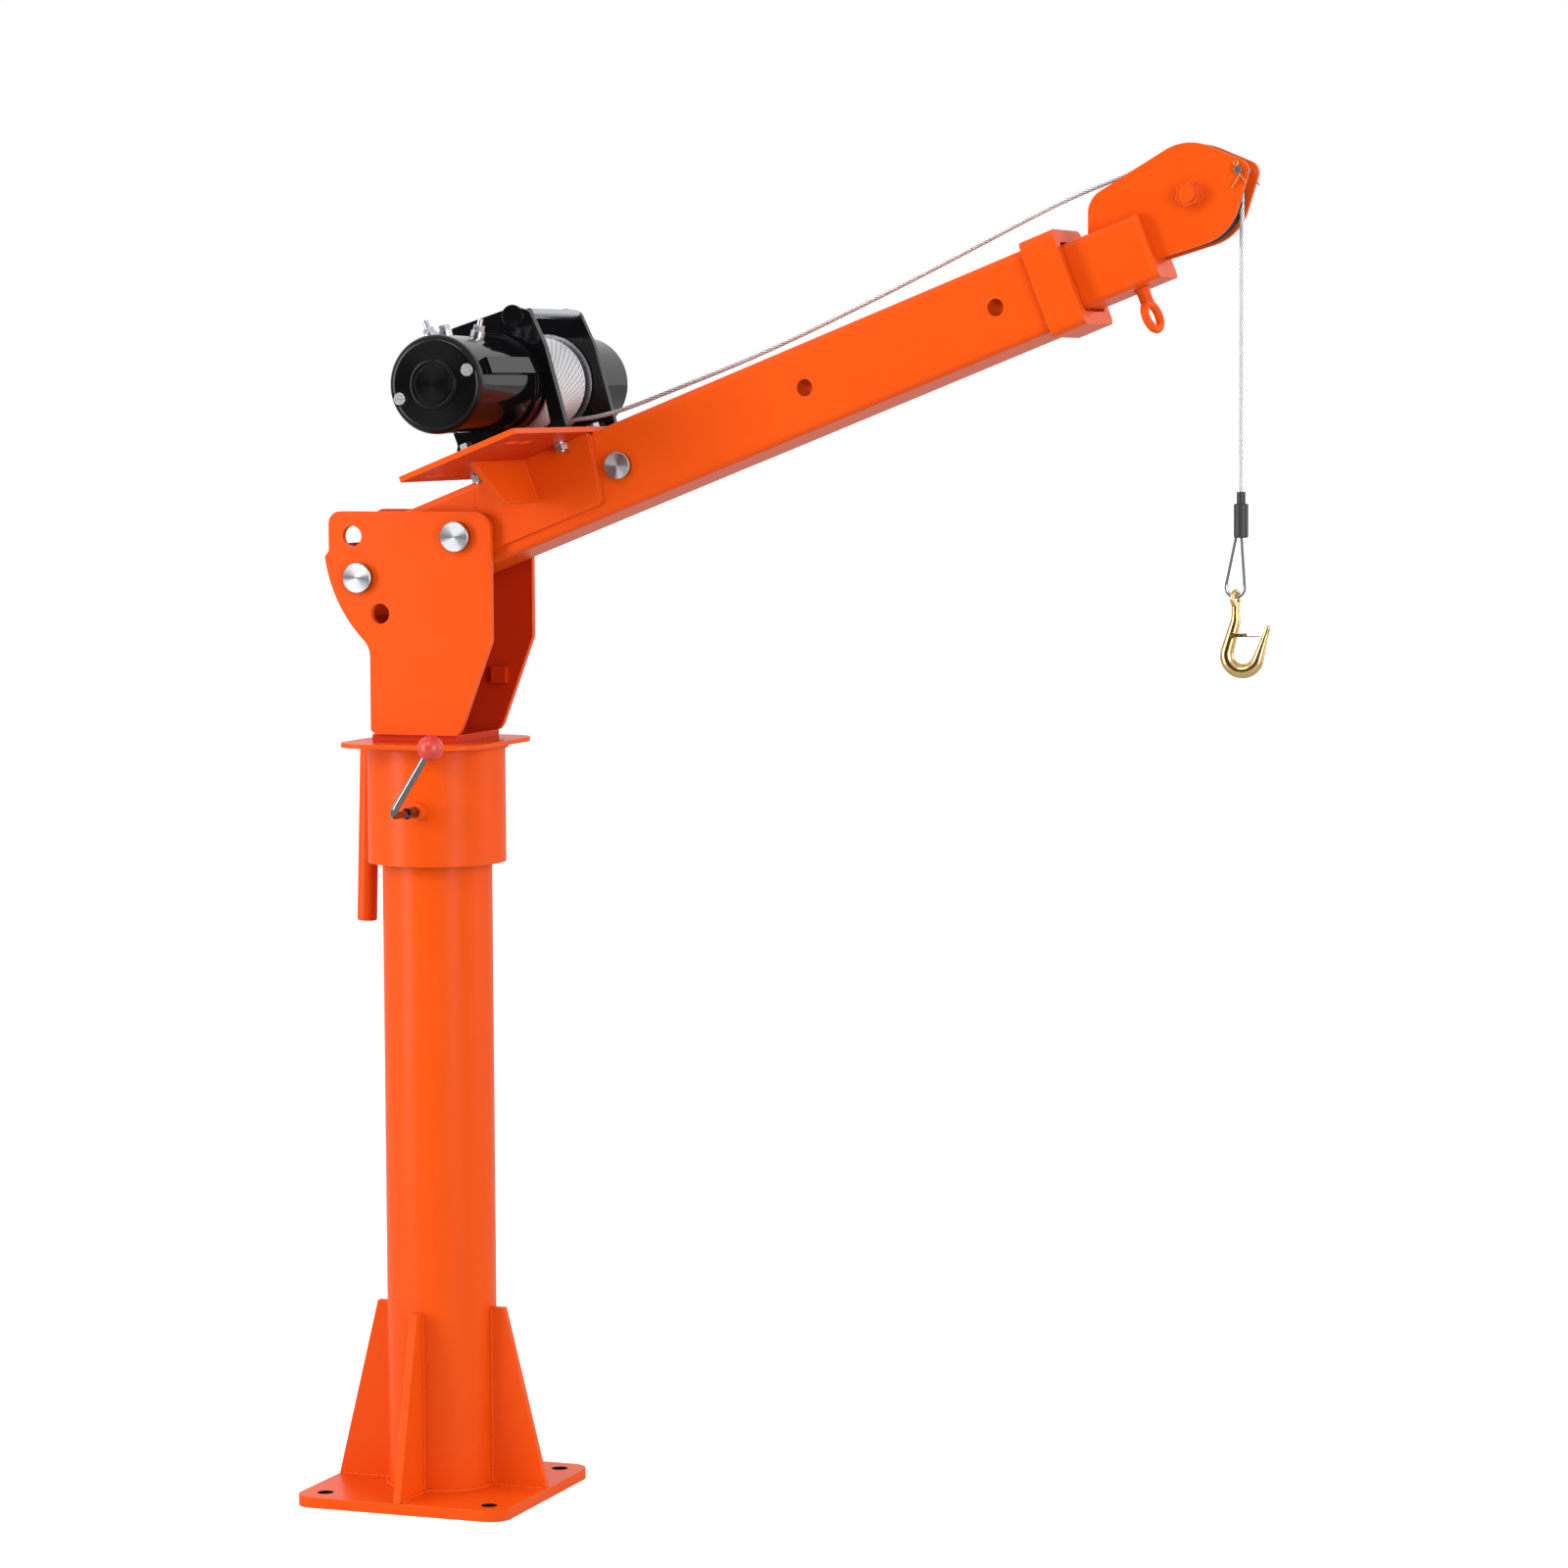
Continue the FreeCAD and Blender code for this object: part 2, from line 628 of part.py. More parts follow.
def head_plate_edges():
    """Cheek of the boom head: a rear lobe, a round over the sheave and a nose round the keeper."""
    centre = vec(SHEAVE_U, 0, SHEAVE_V + 0.6)
    boom_top = BOOM_V + INNER_SIDE / 2
    front_u = INNER_END_U + END_PLATE_THICK
    nose = vec(KEEPER_U - 3, 0, KEEPER_V)
    rise = vec(790, 0, 77)
    low = vec(front_u, 0, -10.5)
    over_start = tangent_point(rise, centre, PLATE_ROUND_R, -1)
    under_end = tangent_point(low, centre, PLATE_ROUND_R, 1)
    run = nose - centre
    lean = math.degrees(math.atan2(run.z, run.x))
    swing = math.degrees(math.acos((PLATE_ROUND_R - NOSE_R) / run.Length))
    over_end = on_circle(centre, PLATE_ROUND_R, lean + swing)
    nose_start = on_circle(nose, NOSE_R, lean + swing)
    nose_end = on_circle(nose, NOSE_R, lean - swing)
    under_start = on_circle(centre, PLATE_ROUND_R, lean - swing)
    rear_low = vec(761, 0, boom_top)
    rear_mid = vec(769.5, 0, 62)
    notch = vec(front_u, 0, boom_top)
    crown = on_circle(centre, PLATE_ROUND_R, 80)
    belly = on_circle(centre, PLATE_ROUND_R, -80)
    return [
        Part.makeLine(notch, rear_low),
        Part.makeLine(rear_low, rear_mid),
        Part.Arc(rear_mid, vec(777, 0, 71.5), rise).toShape(),
        Part.makeLine(rise, over_start),
        Part.Arc(over_start, crown, over_end).toShape(),
        Part.makeLine(over_end, nose_start),
        Part.Arc(nose_start, nose + vec(NOSE_R, 0, 0), nose_end).toShape(),
        Part.makeLine(nose_end, under_start),
        Part.Arc(under_start, belly, under_end).toShape(),
        Part.makeLine(under_end, low),
        Part.makeLine(low, notch)]


def head_plate(y0, y1):
    shape = plate(head_plate_edges(), y0, y1)
    for u, v, radius in ((SHEAVE_U, SHEAVE_V, AXLE_R), (KEEPER_U, KEEPER_V, KEEPER_R + RUN_GAP)):
        shape = shape.cut(rod(vec(u, y0 - 1, v), vec(u, y1 + 1, v), radius))
    return shape


def head_axle():
    """Through bolt with a hex head on the far side and a washer and nut on the near side."""
    face = PLATE_IN + PLATE_THICK
    place = vec(SHEAVE_U, 0, SHEAVE_V)

    def at(y):
        return place + Y_AXIS * y

    bolt = fused([rod(at(-face - 15), at(face), AXLE_R), hexagon(at(face), at(face + 9), 24)])
    washer = ring(at(-face), at(-face - 2), 14, AXLE_R)
    nut = hexagon(at(-face - 2), at(-face - 12), 22).cut(rod(at(-face), at(-face - 20), AXLE_R))
    return [bolt, fused([washer, nut])]


def sheave():
    """Rope wheel: a turned profile with a round groove, a thin web and a wide hub."""
    place = vec(SHEAVE_U, 0, SHEAVE_V)
    rim_half = 8.0
    web_half = 3.0
    hub_r = 16.0
    hub_half = PLATE_IN - PIN_GAP
    rim_in = 36.0
    bore = AXLE_R + RUN_GAP
    half = [(bore, 0, 0), (bore, hub_half, 0), (hub_r, hub_half, 0), (hub_r, web_half, 2),
            (rim_in, web_half, 2), (rim_in, rim_half, 0), (SHEAVE_R, rim_half, 0)]
    groove_r = ROPE_R + 0.3
    lip = 1.2
    flank = [(SHEAVE_R, groove_r + lip, 0), (SHEAVE_PITCH_R, groove_r, 0)]
    mirrored = [(x, -z, r) for x, z, r in reversed(half[1:])]
    groove = [(x, -z, r) for x, z, r in reversed(flank)]
    start = [vec(x, 0, z) for x, z, _ in flank]
    bottom = Part.Arc(start[1], vec(SHEAVE_PITCH_R - groove_r, 0, 0),
                      vec(SHEAVE_PITCH_R, 0, -groove_r)).toShape()
    upper = rounded_edges([(bore, 0, 0)] + half[1:] + flank, closed=False)
    lower = rounded_edges(groove + mirrored + [(bore, 0, 0)], closed=False)
    face = Part.Face(Part.Wire(Part.__sortEdges__(upper + [bottom] + lower)))
    wheel = face.revolve(vec(0, 0, 0), Z_AXIS, 360)
    wheel.Placement = FreeCAD.Placement(place, FreeCAD.Rotation(Z_AXIS, Y_AXIS))
    return wheel


def keeper_pin():
    """Keeper across the nose, with a cross hole near each end for its split pin."""
    reach = PLATE_IN + PLATE_THICK + 6
    shape = rod(vec(KEEPER_U, -reach, KEEPER_V), vec(KEEPER_U, reach, KEEPER_V), KEEPER_R)
    for side in (-1, 1):
        y = side * (reach - 3)
        shape = shape.cut(rod(vec(KEEPER_U, y, KEEPER_V - 9), vec(KEEPER_U, y, KEEPER_V + 9), 1.3))
    return shape


def keeper_cotters():
    """Two split pins: a round eye, a shank through the keeper and two legs spread below it."""
    wire_r = 0.8
    eye_r = 2.2
    y_reach = PLATE_IN + PLATE_THICK + 3
    leg_starts = vec(KEEPER_U, 0, KEEPER_V - KEEPER_R - 1)
    pins = []
    for side in (-1, 1):
        across = Y_AXIS * (side * y_reach)
        top = vec(KEEPER_U, 0, KEEPER_V + KEEPER_R + 1) + across
        low = leg_starts + across
        shank = rod(low, top, wire_r)
        joint = Part.makeSphere(wire_r, low)
        eye = Part.makeTorus(eye_r, wire_r, top + Z_AXIS * eye_r, Y_AXIS)
        long_leg = rod(low, low + vec(-13, 0, -9), wire_r)
        short_leg = rod(low, low + vec(3, 0, -11), wire_r)
        pins.append(fused([shank, eye, joint, long_leg, short_leg]))
    return pins


save("boom_inner", on_boom(boom_inner()))
end_front = INNER_END_U + END_PLATE_THICK
save("inner_end_plate", on_boom(square_bar(INNER_SIDE, INNER_CORNER, BOOM_V, INNER_END_U, end_front)))
save("inner_pads", [on_boom(pad) for pad in four_pads(208.5, 230, 35, 39.95, 50)])
save("lifting_eye", on_boom(lifting_eye()))
save("head_plate_near", on_boom(head_plate(-PLATE_IN - PLATE_THICK, -PLATE_IN)))
save("head_plate_far", on_boom(head_plate(PLATE_IN, PLATE_IN + PLATE_THICK)))
save("head_axle", [on_boom(piece) for piece in head_axle()])
save("sheave", on_boom(sheave()))
save("keeper_pin", on_boom(keeper_pin()))
save("keeper_cotters", [on_boom(pin) for pin in keeper_cotters()])


# Winch seat welded across the outer boom

def winch_plate():
    shape = box(41, 181, -249, 190, PLATE_BOTTOM_V, PLATE_TOP_V)
    uprights = [e for e in shape.Edges if abs(e.Length - (PLATE_TOP_V - PLATE_BOTTOM_V)) < 0.001]
    shape = shape.makeFillet(4, uprights)
    slot_half = 4.5
    for u in (59.5, 154.5):
        for y in (-199, -164):
            ends = 15 - slot_half
            slot = box(u - slot_half, u + slot_half, y - ends, y + ends, 49, 57)
            for end in (-ends, ends):
                slot = slot.fuse(rod(vec(u, y + end, 49), vec(u, y + end, 57), slot_half))
            shape = shape.cut(slot)
    for u, y in WINCH_BOLTS:
        shape = shape.cut(rod(vec(u, y, 49), vec(u, y, 57), WINCH_HOLE_R))
    return shape


def winch_gussets():
    """On each side of the boom a doubler plate and a web square to it under the winch plate's wing."""
    half = OUTER_SIDE / 2
    outside = half + DOUBLER_THICK
    web_u = 93
    shapes = []
    for side in (-1, 1):
        low = min(side * half, side * outside)
        flat = plate(rounded_edges([(41, PLATE_BOTTOM_V, 0), (178, PLATE_BOTTOM_V, 0), (166, -26, 6),
                                    (12, -26, 0)]), low, low + DOUBLER_THICK)
        flat = flat.cut(rod(vec(0, -60, 0), vec(0, 60, 0), 24.5))
        for u, y in WINCH_BOLTS:
            flat = flat.cut(rod(vec(u, y, PLATE_BOTTOM_V - 12), vec(u, y, PLATE_BOTTOM_V + 1), 9))
        points = [(182, PLATE_BOTTOM_V), (outside, PLATE_BOTTOM_V), (outside, 3), (138, 3)]
        corners = [vec(web_u, side * y, v) for y, v in points]
        face = Part.Face(Part.makePolygon(corners + corners[:1]))
        shapes += [flat, face.extrude(vec(6, 0, 0))]
    return shapes


def winch_at(y):
    return vec(WINCH_U, y, WINCH_V)


def support_outline():
    """Side frame of the winch: a broad shoulder on two legs, the rear one spread."""
    return rounded_edges([(38, PLATE_TOP_V, 0), (38, 78, 4), (44, 88, 6), (44, 168, 20), (60, 196, 12),
                          (84, 206, 10), (160, 201, 14), (174, 191, 7), (177, 150, 60),
                          (173, 108, 60), (168, PLATE_TOP_V, 0)])


def support_window():
    """The gap between the two legs, under the drum's bearing."""
    return rounded_edges([(76, 70, 5), (114, 84, 4), (128, 112, 10), (163, 134, 8), (153, 70, 5)])


def support_near():
    y0 = SUPPORT_NEAR_Y
    y1 = y0 + SUPPORT_NEAR_THICK
    shape = plate(support_outline(), y0, y1)
    shape = shape.cut(plate(support_window(), y0 - 1, y1 + 1))
    shape = shape.cut(rod(winch_at(y0 - 1), winch_at(y1 + 1), 15))
    boss = rod(vec(155, y0 - 3, 192), vec(155, y0, 192), 12)
    foot = box(38, 68, y0 - 19, y0, PLATE_TOP_V, 76)
    tab = box(136, 162, y1, y1 + 18, PLATE_TOP_V, 62)
    for u, y in WINCH_BOLTS[:2]:
        foot = foot.cut(rod(vec(u, y, 50), vec(u, y, 80), WINCH_HOLE_R))
        tab = tab.cut(rod(vec(u, y, 50), vec(u, y, 80), WINCH_HOLE_R))
    return fused([shape, boss, foot, tab])


def support_far():
    y0 = SUPPORT_FAR_Y
    y1 = y0 + SUPPORT_FAR_THICK
    shape = plate(support_outline(), y0, y1)
    shape = shape.cut(rod(winch_at(y0 - 1), winch_at(y1 + 1), 15))
    foot = box(38, 68, y1, y1 + 19, PLATE_TOP_V, 76)
    tab = box(136, 162, y0 - 18, y0, PLATE_TOP_V, 62)
    for u, y in WINCH_BOLTS[2:]:
        foot = foot.cut(rod(vec(u, y, 50), vec(u, y, 80), WINCH_HOLE_R))
        tab = tab.cut(rod(vec(u, y, 50), vec(u, y, 80), WINCH_HOLE_R))
    return fused([shape, foot, tab])


def winch_bolts():
    """Four bolts with washers under their heads and nuts below the plate."""
    bolts = []
    for (u, y), seat in zip(WINCH_BOLTS, (76, 62, 76, 62)):
        def at(v):
            return vec(u, y, v)

        shank = rod(at(PLATE_BOTTOM_V - 10), at(seat), WINCH_BOLT_R)
        washer = rod(at(seat), at(seat + 1.6), 9)
        head = hexagon(at(seat + 1.6), at(seat + 9), 13)
        low_washer = rod(at(PLATE_BOTTOM_V - 1.6), at(PLATE_BOTTOM_V), 8)
        nut = hexagon(at(PLATE_BOTTOM_V - 8.4), at(PLATE_BOTTOM_V - 1.6), 13)
        bolts.append(fused([shank, washer, head, low_washer, nut]))
    return bolts


def tie_bars():
    """Round bars between the side frames, bright in front, and a flat rail behind the drum."""
    near = SUPPORT_NEAR_Y + SUPPORT_NEAR_THICK
    front = rod(vec(169, near, 190), vec(169, SUPPORT_FAR_Y, 190), 5.3)
    rear = rod(vec(80, near, 194), vec(80, SUPPORT_FAR_Y, 194), 5.3)
    rail = box(45, 54, near, SUPPORT_FAR_Y, 98, 126)
    return [front, rear, rail]


def motor_housing():
    """Motor barrel with a flat bar down each flank over its through bolts."""
    barrel = rod(winch_at(MOTOR_END_Y), winch_at(SUPPORT_NEAR_Y), MOTOR_R)
    shapes = [barrel]
    for side in (-1, 1):
        u = WINCH_U + side * (MOTOR_R - 4)
        low = min(u, u + side * 9)
        shapes.append(box(low, low + 9, MOTOR_END_Y + 14, SUPPORT_NEAR_Y, WINCH_V - 9, WINCH_V + 9))
    mouth = ring(winch_at(SUPPORT_NEAR_Y - 12), winch_at(SUPPORT_NEAR_Y), MOTOR_R + 3, MOTOR_R - 2)
    return fused(shapes + [mouth])


def motor_end_cap():
    """Domed end cap with a raised round boss and two flats for the cap screws."""
    end = MOTOR_END_Y - 12
    cap = rod(winch_at(MOTOR_END_Y), winch_at(end), MOTOR_R + 0.5)
    rim = [e for e in cap.Edges if e.BoundBox.YMax < end + 0.1]
    cap = cap.makeFillet(8, rim)
    boss = rod(winch_at(end), winch_at(end - 3), 26)
    rim = [e for e in boss.Edges if e.BoundBox.YMax < end - 2.9]
    cap = fused([cap, boss.makeFillet(2, rim)])
    groove = ring(winch_at(end - 5), winch_at(end - 1.5), 22.5, 20)
    cap = cap.cut(groove)
    for side in (-1, 1):
        place = vec(WINCH_U + side * 41, 0, WINCH_V)
        cap = cap.cut(rod(place + Y_AXIS * (end - 1), place + Y_AXIS * (end + 3.5), 8))
    return cap


def cap_screws():
    end = MOTOR_END_Y - 12
    screws = []
    for side in (-1, 1):
        place = vec(WINCH_U + side * 41, 0, WINCH_V)
        head = rod(place + Y_AXIS * (end + 3.5), place + Y_AXIS * (end - 1), 6.5)
        slot = box(-8, 8, end - 2, end + 0.6, -0.8, 0.8)
        slot.rotate(vec(0, 0, 0), Y_AXIS, 35)
        slot.translate(place)
        screws.append(head.cut(slot))
    return screws


def motor_terminals():
    """Three studs with nuts on the motor barrel: (y, degrees up from +u, length, insulator radius)."""
    studs = []
    for y, degrees, reach, insulator in ((-195, 92, 72, 7.5), (-180, 81, 63, 7.5), (-150, 56, 70, 7.5)):
        turn = math.radians(degrees)
        out = vec(math.cos(turn), 0, math.sin(turn))
        foot = winch_at(y)
        sleeve = rod(foot + out * (MOTOR_R - 3), foot + out * (MOTOR_R + 6), insulator)
        sleeve = sleeve.cut(rod(winch_at(MOTOR_END_Y), winch_at(SUPPORT_NEAR_Y), MOTOR_R))
        nut = hexagon(foot + out * (MOTOR_R + 6), foot + out * (MOTOR_R + 12), 11)
        stud = rod(foot + out * (MOTOR_R + 6), foot + out * reach, 3)
        studs.append(fused([sleeve, nut, stud]))
    return studs


def gear_housing():
    """Gearbox: a round can with a stepped end, past the far side frame."""
    start = SUPPORT_FAR_Y + SUPPORT_FAR_THICK
    can = rod(winch_at(start), winch_at(GEAR_END_Y), 52)
    rim = [e for e in can.Edges if e.BoundBox.YMin > GEAR_END_Y - 0.1]
    can = can.makeFillet(6, rim)
    hub = rod(winch_at(GEAR_END_Y), winch_at(GEAR_END_Y + 5), 21)
    band = rod(winch_at(start), winch_at(start + 14), 54.5)
    return fused([can, hub, band])


def clutch_knob():
    """Freespool clutch: a disc with a straight finger grip across it."""
    start = GEAR_END_Y + 5 + RUN_GAP
    disc = rod(winch_at(start), winch_at(start + 4), 18)
    grip = box(WINCH_U - 4, WINCH_U + 4, start + 4, start + 14, WINCH_V - 17, WINCH_V + 17)
    ends = [e for e in grip.Edges if abs(e.Length - 10) < 0.001]
    return fused([disc, grip.makeFillet(3.5, ends)])


def drum():
    """Drum barrel, its two flanges and the journals that turn in the side frames."""
    near = SUPPORT_NEAR_Y + 0.1
    far = SUPPORT_FAR_Y + SUPPORT_FAR_THICK - 0.1
    shaft = rod(winch_at(near), winch_at(far), 14.95)
    barrel = rod(winch_at(-62), winch_at(60), BARREL_R)
    near_flange = rod(winch_at(-64), winch_at(-61), DRUM_FLANGE_R)
    far_flange = rod(winch_at(58), winch_at(61), DRUM_FLANGE_R)
    return fused([shaft, barrel, near_flange, far_flange])


def helix_point(turns):
    """Point and direction on the winding, a number of turns before its end under the drum."""
    angle = 2 * math.pi * (-turns) - math.pi / 2
    point = vec(WINCH_U + WINDING_R * math.cos(angle), WINDING_END_Y - WINDING_PITCH * turns,
                WINCH_V + WINDING_R * math.sin(angle))
    per_turn = 2 * math.pi * WINDING_R
    along = vec(-math.sin(angle) * per_turn, WINDING_PITCH, math.cos(angle) * per_turn)
    return point, along.normalize()


def biarc(start, start_along, end, end_along):
    """Two arcs that leave and arrive along the given directions and meet smoothly."""
    gap = end - start
    both = start_along + end_along
    lean = gap.dot(both)
    spread = 2 * (1 - start_along.dot(end_along))
    reach = (-lean + math.sqrt(lean ** 2 + spread * gap.dot(gap))) / spread
    first = start + start_along * reach
    last = end - end_along * reach
    joint = (first + last) * 0.5
    arcs = []
    for a, corner, b in ((start, first, joint), (joint, last, end)):
        back = (a - corner).normalize()
        ahead = (b - corner).normalize()
        half = back.getAngle(ahead) / 2
        radius = reach * math.tan(half)
        middle = (back + ahead).normalize()
        top = corner + middle * (radius / math.sin(half) - radius)
        arcs.append(Part.Arc(a, top, b).toShape())
    return arcs


def rope_winding():
    """Outer layer of rope as one tube over the plain drum of the layers below it."""
    straight = 2 * ROPE_R
    quarter_turns = 4 * WINDING_TURNS
    stations = [helix_point((quarter_turns - step) / 4) for step in range(quarter_turns + 1)]
    first, first_along = stations[0]
    last, last_along = stations[-1]
    edges = [Part.makeLine(first - first_along * straight, first)]
    for (start, leaving), (end, arriving) in zip(stations, stations[1:]):
        edges += biarc(start, leaving, end, arriving)
    edges.append(Part.makeLine(last, last + last_along * straight))
    tube = tube_along(edges, ROPE_R)
    length = sum(edge.Length for edge in edges)
    print("winding volume ratio", round(tube.Volume / (math.pi * ROPE_R ** 2 * length), 5))
    print("winding least gap", round(least_gap(edges), 3))
    return tube, last + last_along * straight, last_along


def least_gap(edges):
    """Least gap between neighbouring turns, measured on points a few millimetres apart."""
    points = []
    for edge in edges:
        points += edge.discretize(Number=13)[:-1]
    per_turn = 8 * 12
    least = 1000.0
    for index, point in enumerate(points[::4]):
        start = index * 4 + per_turn - 24
        for other in points[start:start + 48]:
            least = min(least, point.distanceToPoint(other) - 2 * ROPE_R)
    return least


def rope_run(start, along):
    """Slack rope from under the drum, over the boom, to the top of the sheave."""
    entry = on_circle(vec(SHEAVE_U, 0, SHEAVE_V), SHEAVE_PITCH_R, ENTRY_DEGREES)
    route = [start, start + along * 13]
    far_y = start.y
    for u, v in ((152, 76.5), (190, 71.0), (262, 69.2), (335, 67.2), (408, 68.0), (481, 71.0),
                 (554, 74.6), (627, 79.4), (695, 84.4), (752, 87.2)):
        share = (SHEAVE_U - u) / (SHEAVE_U - WINCH_U)
        route.append(vec(u, far_y * share, v))
    route += [vec(812, 1.5, 85.0), entry]
    return cord("rope_run", route, ROPE_R)


def rope_wrap():
    """Rope on the sheave, from where it arrives to where it hangs plumb."""
    centre = vec(SHEAVE_U, 0, SHEAVE_V)
    start = on_circle(centre, SHEAVE_PITCH_R, ENTRY_DEGREES)
    middle = on_circle(centre, SHEAVE_PITCH_R, (ENTRY_DEGREES - BOOM_ANGLE) / 2)
    end = on_circle(centre, SHEAVE_PITCH_R, -BOOM_ANGLE)
    return tube_along([Part.Arc(start, middle, end).toShape()], ROPE_R)


save("winch_plate", on_boom(winch_plate()))
save("winch_gussets", [on_boom(web) for web in winch_gussets()])
save("drum_support_near", on_boom(support_near()))
save("drum_support_far", on_boom(support_far()))
save("winch_bolts", [on_boom(bolt) for bolt in winch_bolts()])
save("tie_bars", [on_boom(bar) for bar in tie_bars()])
save("motor_housing", on_boom(motor_housing()))
save("motor_end_cap", on_boom(motor_end_cap()))
save("cap_screws", [on_boom(screw) for screw in cap_screws()])
save("motor_terminals", [on_boom(stud) for stud in motor_terminals()])
save("gear_housing", on_boom(gear_housing()))
save("clutch_knob", on_boom(clutch_knob()))
save("drum", on_boom(drum()))
save("rope_core", on_boom(ring(winch_at(-61), winch_at(58), WINDING_R - ROPE_R - 0.1, BARREL_R)))
winding, winding_end, winding_along = rope_winding()
save("rope_winding", on_boom(winding))
save("rope_run", on_boom(rope_run(winding_end, winding_along)))
save("rope_wrap", on_boom(rope_wrap()))


# Load line and its end: sleeve, eye of rope, thimble

SHEAVE_CENTRE = BOOM_PLACE.multVec(vec(SHEAVE_U, 0, SHEAVE_V))
line_x = SHEAVE_CENTRE.x + SHEAVE_PITCH_R


def rope_ferrule():
    """Shrink sleeve over the pressed ferrule: a thin neck on a fat barrel."""
    neck = rod(vec(line_x, 0, SLEEVE_NECK_Z), vec(line_x, 0, SLEEVE_TOP_Z), 4.6)
    barrel = rod(vec(line_x, 0, SLEEVE_FOOT_Z), vec(line_x, 0, SLEEVE_NECK_Z), 7.5)
    ends = [e for e in barrel.Edges if e.BoundBox.DiagonalLength > 10 and e.Curve.TypeId == "Part::GeomCircle"]
    return fused([neck, barrel.makeFillet(1.6, ends)])


def loop_sides():
    """Tangent points of the two legs on the loop's round bottom."""
    centre = vec(EYE_X, 0, EYE_Z)
    left_top = vec(line_x - 5.0, 0, SLEEVE_FOOT_Z + 1.5)
    right_top = vec(line_x + 0.4, 0, SLEEVE_FOOT_Z + 1.5)
    left = tangent_point(left_top, centre, EYE_R, 1)
    right = tangent_point(right_top, centre, EYE_R, -1)
    return centre, left_top, left, right, right_top


def rope_loop():
    centre, left_top, left, right, right_top = loop_sides()
    path = [Part.makeLine(left_top, left),
            Part.Arc(left, centre - Z_AXIS * EYE_R, right).toShape(),
            Part.makeLine(right, right_top)]
    inside_sleeve = box(line_x - 10, line_x + 10, -5, 5, SLEEVE_FOOT_Z, SLEEVE_FOOT_Z + 10)
    return tube_along(path, LOOP_ROPE_R).cut(inside_sleeve)


def thimble():
    """Half-round channel round the inside of the loop, open towards the rope."""
    centre = vec(EYE_X, 0, EYE_Z)
    shell = Part.makeTorus(EYE_R, LOOP_ROPE_R + 1.2, centre, Y_AXIS)
    shell = shell.cut(Part.makeTorus(EYE_R, LOOP_ROPE_R + 0.1, centre, Y_AXIS))
    inner = rod(centre - Y_AXIS * 10, centre + Y_AXIS * 10, EYE_R + 0.6)
    shell = shell.common(inner)
    keep = box(EYE_X - 20, EYE_X + 20, -10, 10, EYE_Z - 20, EYE_Z + 3)
    return shell.common(keep)


def hook_eye():
    """Round eye with a boss below it for the swivel, turned a little to the loop."""
    centre = vec(RING_CENTRE_X, 0, RING_CENTRE_Z)
    eye = Part.makeTorus(RING_R, RING_WIRE_R, centre, X_AXIS)
    eye.rotate(centre, Z_AXIS, RING_TURN - 90)
    boss = rod(vec(RING_CENTRE_X, 0, BOSS_FOOT_Z), vec(RING_CENTRE_X, 0, RING_CENTRE_Z - RING_R), 4.4)
    pocket = rod(vec(RING_CENTRE_X, 0, RING_CENTRE_Z - 4.2), vec(RING_CENTRE_X, 0, RING_CENTRE_Z - 6.4), 3.5)
    bore = rod(vec(RING_CENTRE_X, 0, BOSS_FOOT_Z - 1), vec(RING_CENTRE_X, 0, RING_CENTRE_Z), 2.25)
    return fused([eye, boss]).cut(bore).cut(pocket)


def hook():
    """Forged hook: one round bar, thickest at the bowl's bottom, bent from the shank to the tip."""
    bowl = vec(908, 0, 938)
    bowl_r = 16.8
    tip_r = 3.0
    top = vec(RING_CENTRE_X, 0, BOSS_FOOT_Z - 0.1)
    neck = vec(RING_CENTRE_X, 0, 973)
    tip = vec(934.5, 0, 965.5)
    back = tangent_point(neck, bowl, bowl_r, 1)
    front = tangent_point(tip, bowl, bowl_r, -1)
    bottom = bowl - Z_AXIS * bowl_r
    bend, bend_start, bend_end = corner_arc(top, neck, back, 8)
    spine = Part.Wire([Part.makeLine(top, bend_start), bend, Part.makeLine(bend_end, back),
                       Part.Arc(back, bottom, front).toShape(), Part.makeLine(front, tip)])
    shell = Part.BRepOffsetAPI.MakePipeShell(spine)
    for place, along, radius in ((top, -Z_AXIS, 4.2), (bend_end, back - neck, 5.2), (back, back - neck, 6.8),
                                 (bottom, X_AXIS, 7.6), (front, tip - front, 6.2), (tip, tip - front, tip_r)):
        shell.add(Part.Wire(Part.makeCircle(radius, place, along)))
    shell.build()
    shell.makeSolid()
    button_z = RING_CENTRE_Z - 6.3
    shank = rod(vec(neck.x, 0, top.z - 1), vec(neck.x, 0, button_z), 2.2)
    button = rod(vec(neck.x, 0, button_z), vec(neck.x, 0, button_z + 1.7), 3.3)
    hinge = rod(vec(LATCH_X, -LATCH_HALF, LATCH_Z), vec(LATCH_X, LATCH_HALF, LATCH_Z), 1.5)
    shape = shell.shape()
    for piece in (Part.makeSphere(tip_r, tip), shank, button, hinge):
        shape = shape.fuse(piece)
    return shape


def latch():
    """Sprung keeper: a thin tongue on two ears, from the hook's back to its tip."""
    pivot = vec(LATCH_X, 0, LATCH_Z)
    thick = 1.0
    ears = []
    for side in (-1, 1):
        outer = side * LATCH_HALF
        inner = outer - side * thick
        ear = ring(pivot + Y_AXIS * inner, pivot + Y_AXIS * outer, 3.2, 1.55)
        low = min(inner, outer)
        arm = box(pivot.x + 2.4, pivot.x + 12, low, low + thick, pivot.z - 1.6, pivot.z + 1.6)
        ears.append(fused([ear, arm]))
    tongue = box(pivot.x + 9.5, pivot.x + 27, -LATCH_HALF, LATCH_HALF, pivot.z - 1.6, pivot.z - 1.6 + thick)
    return fused(ears + [tongue])


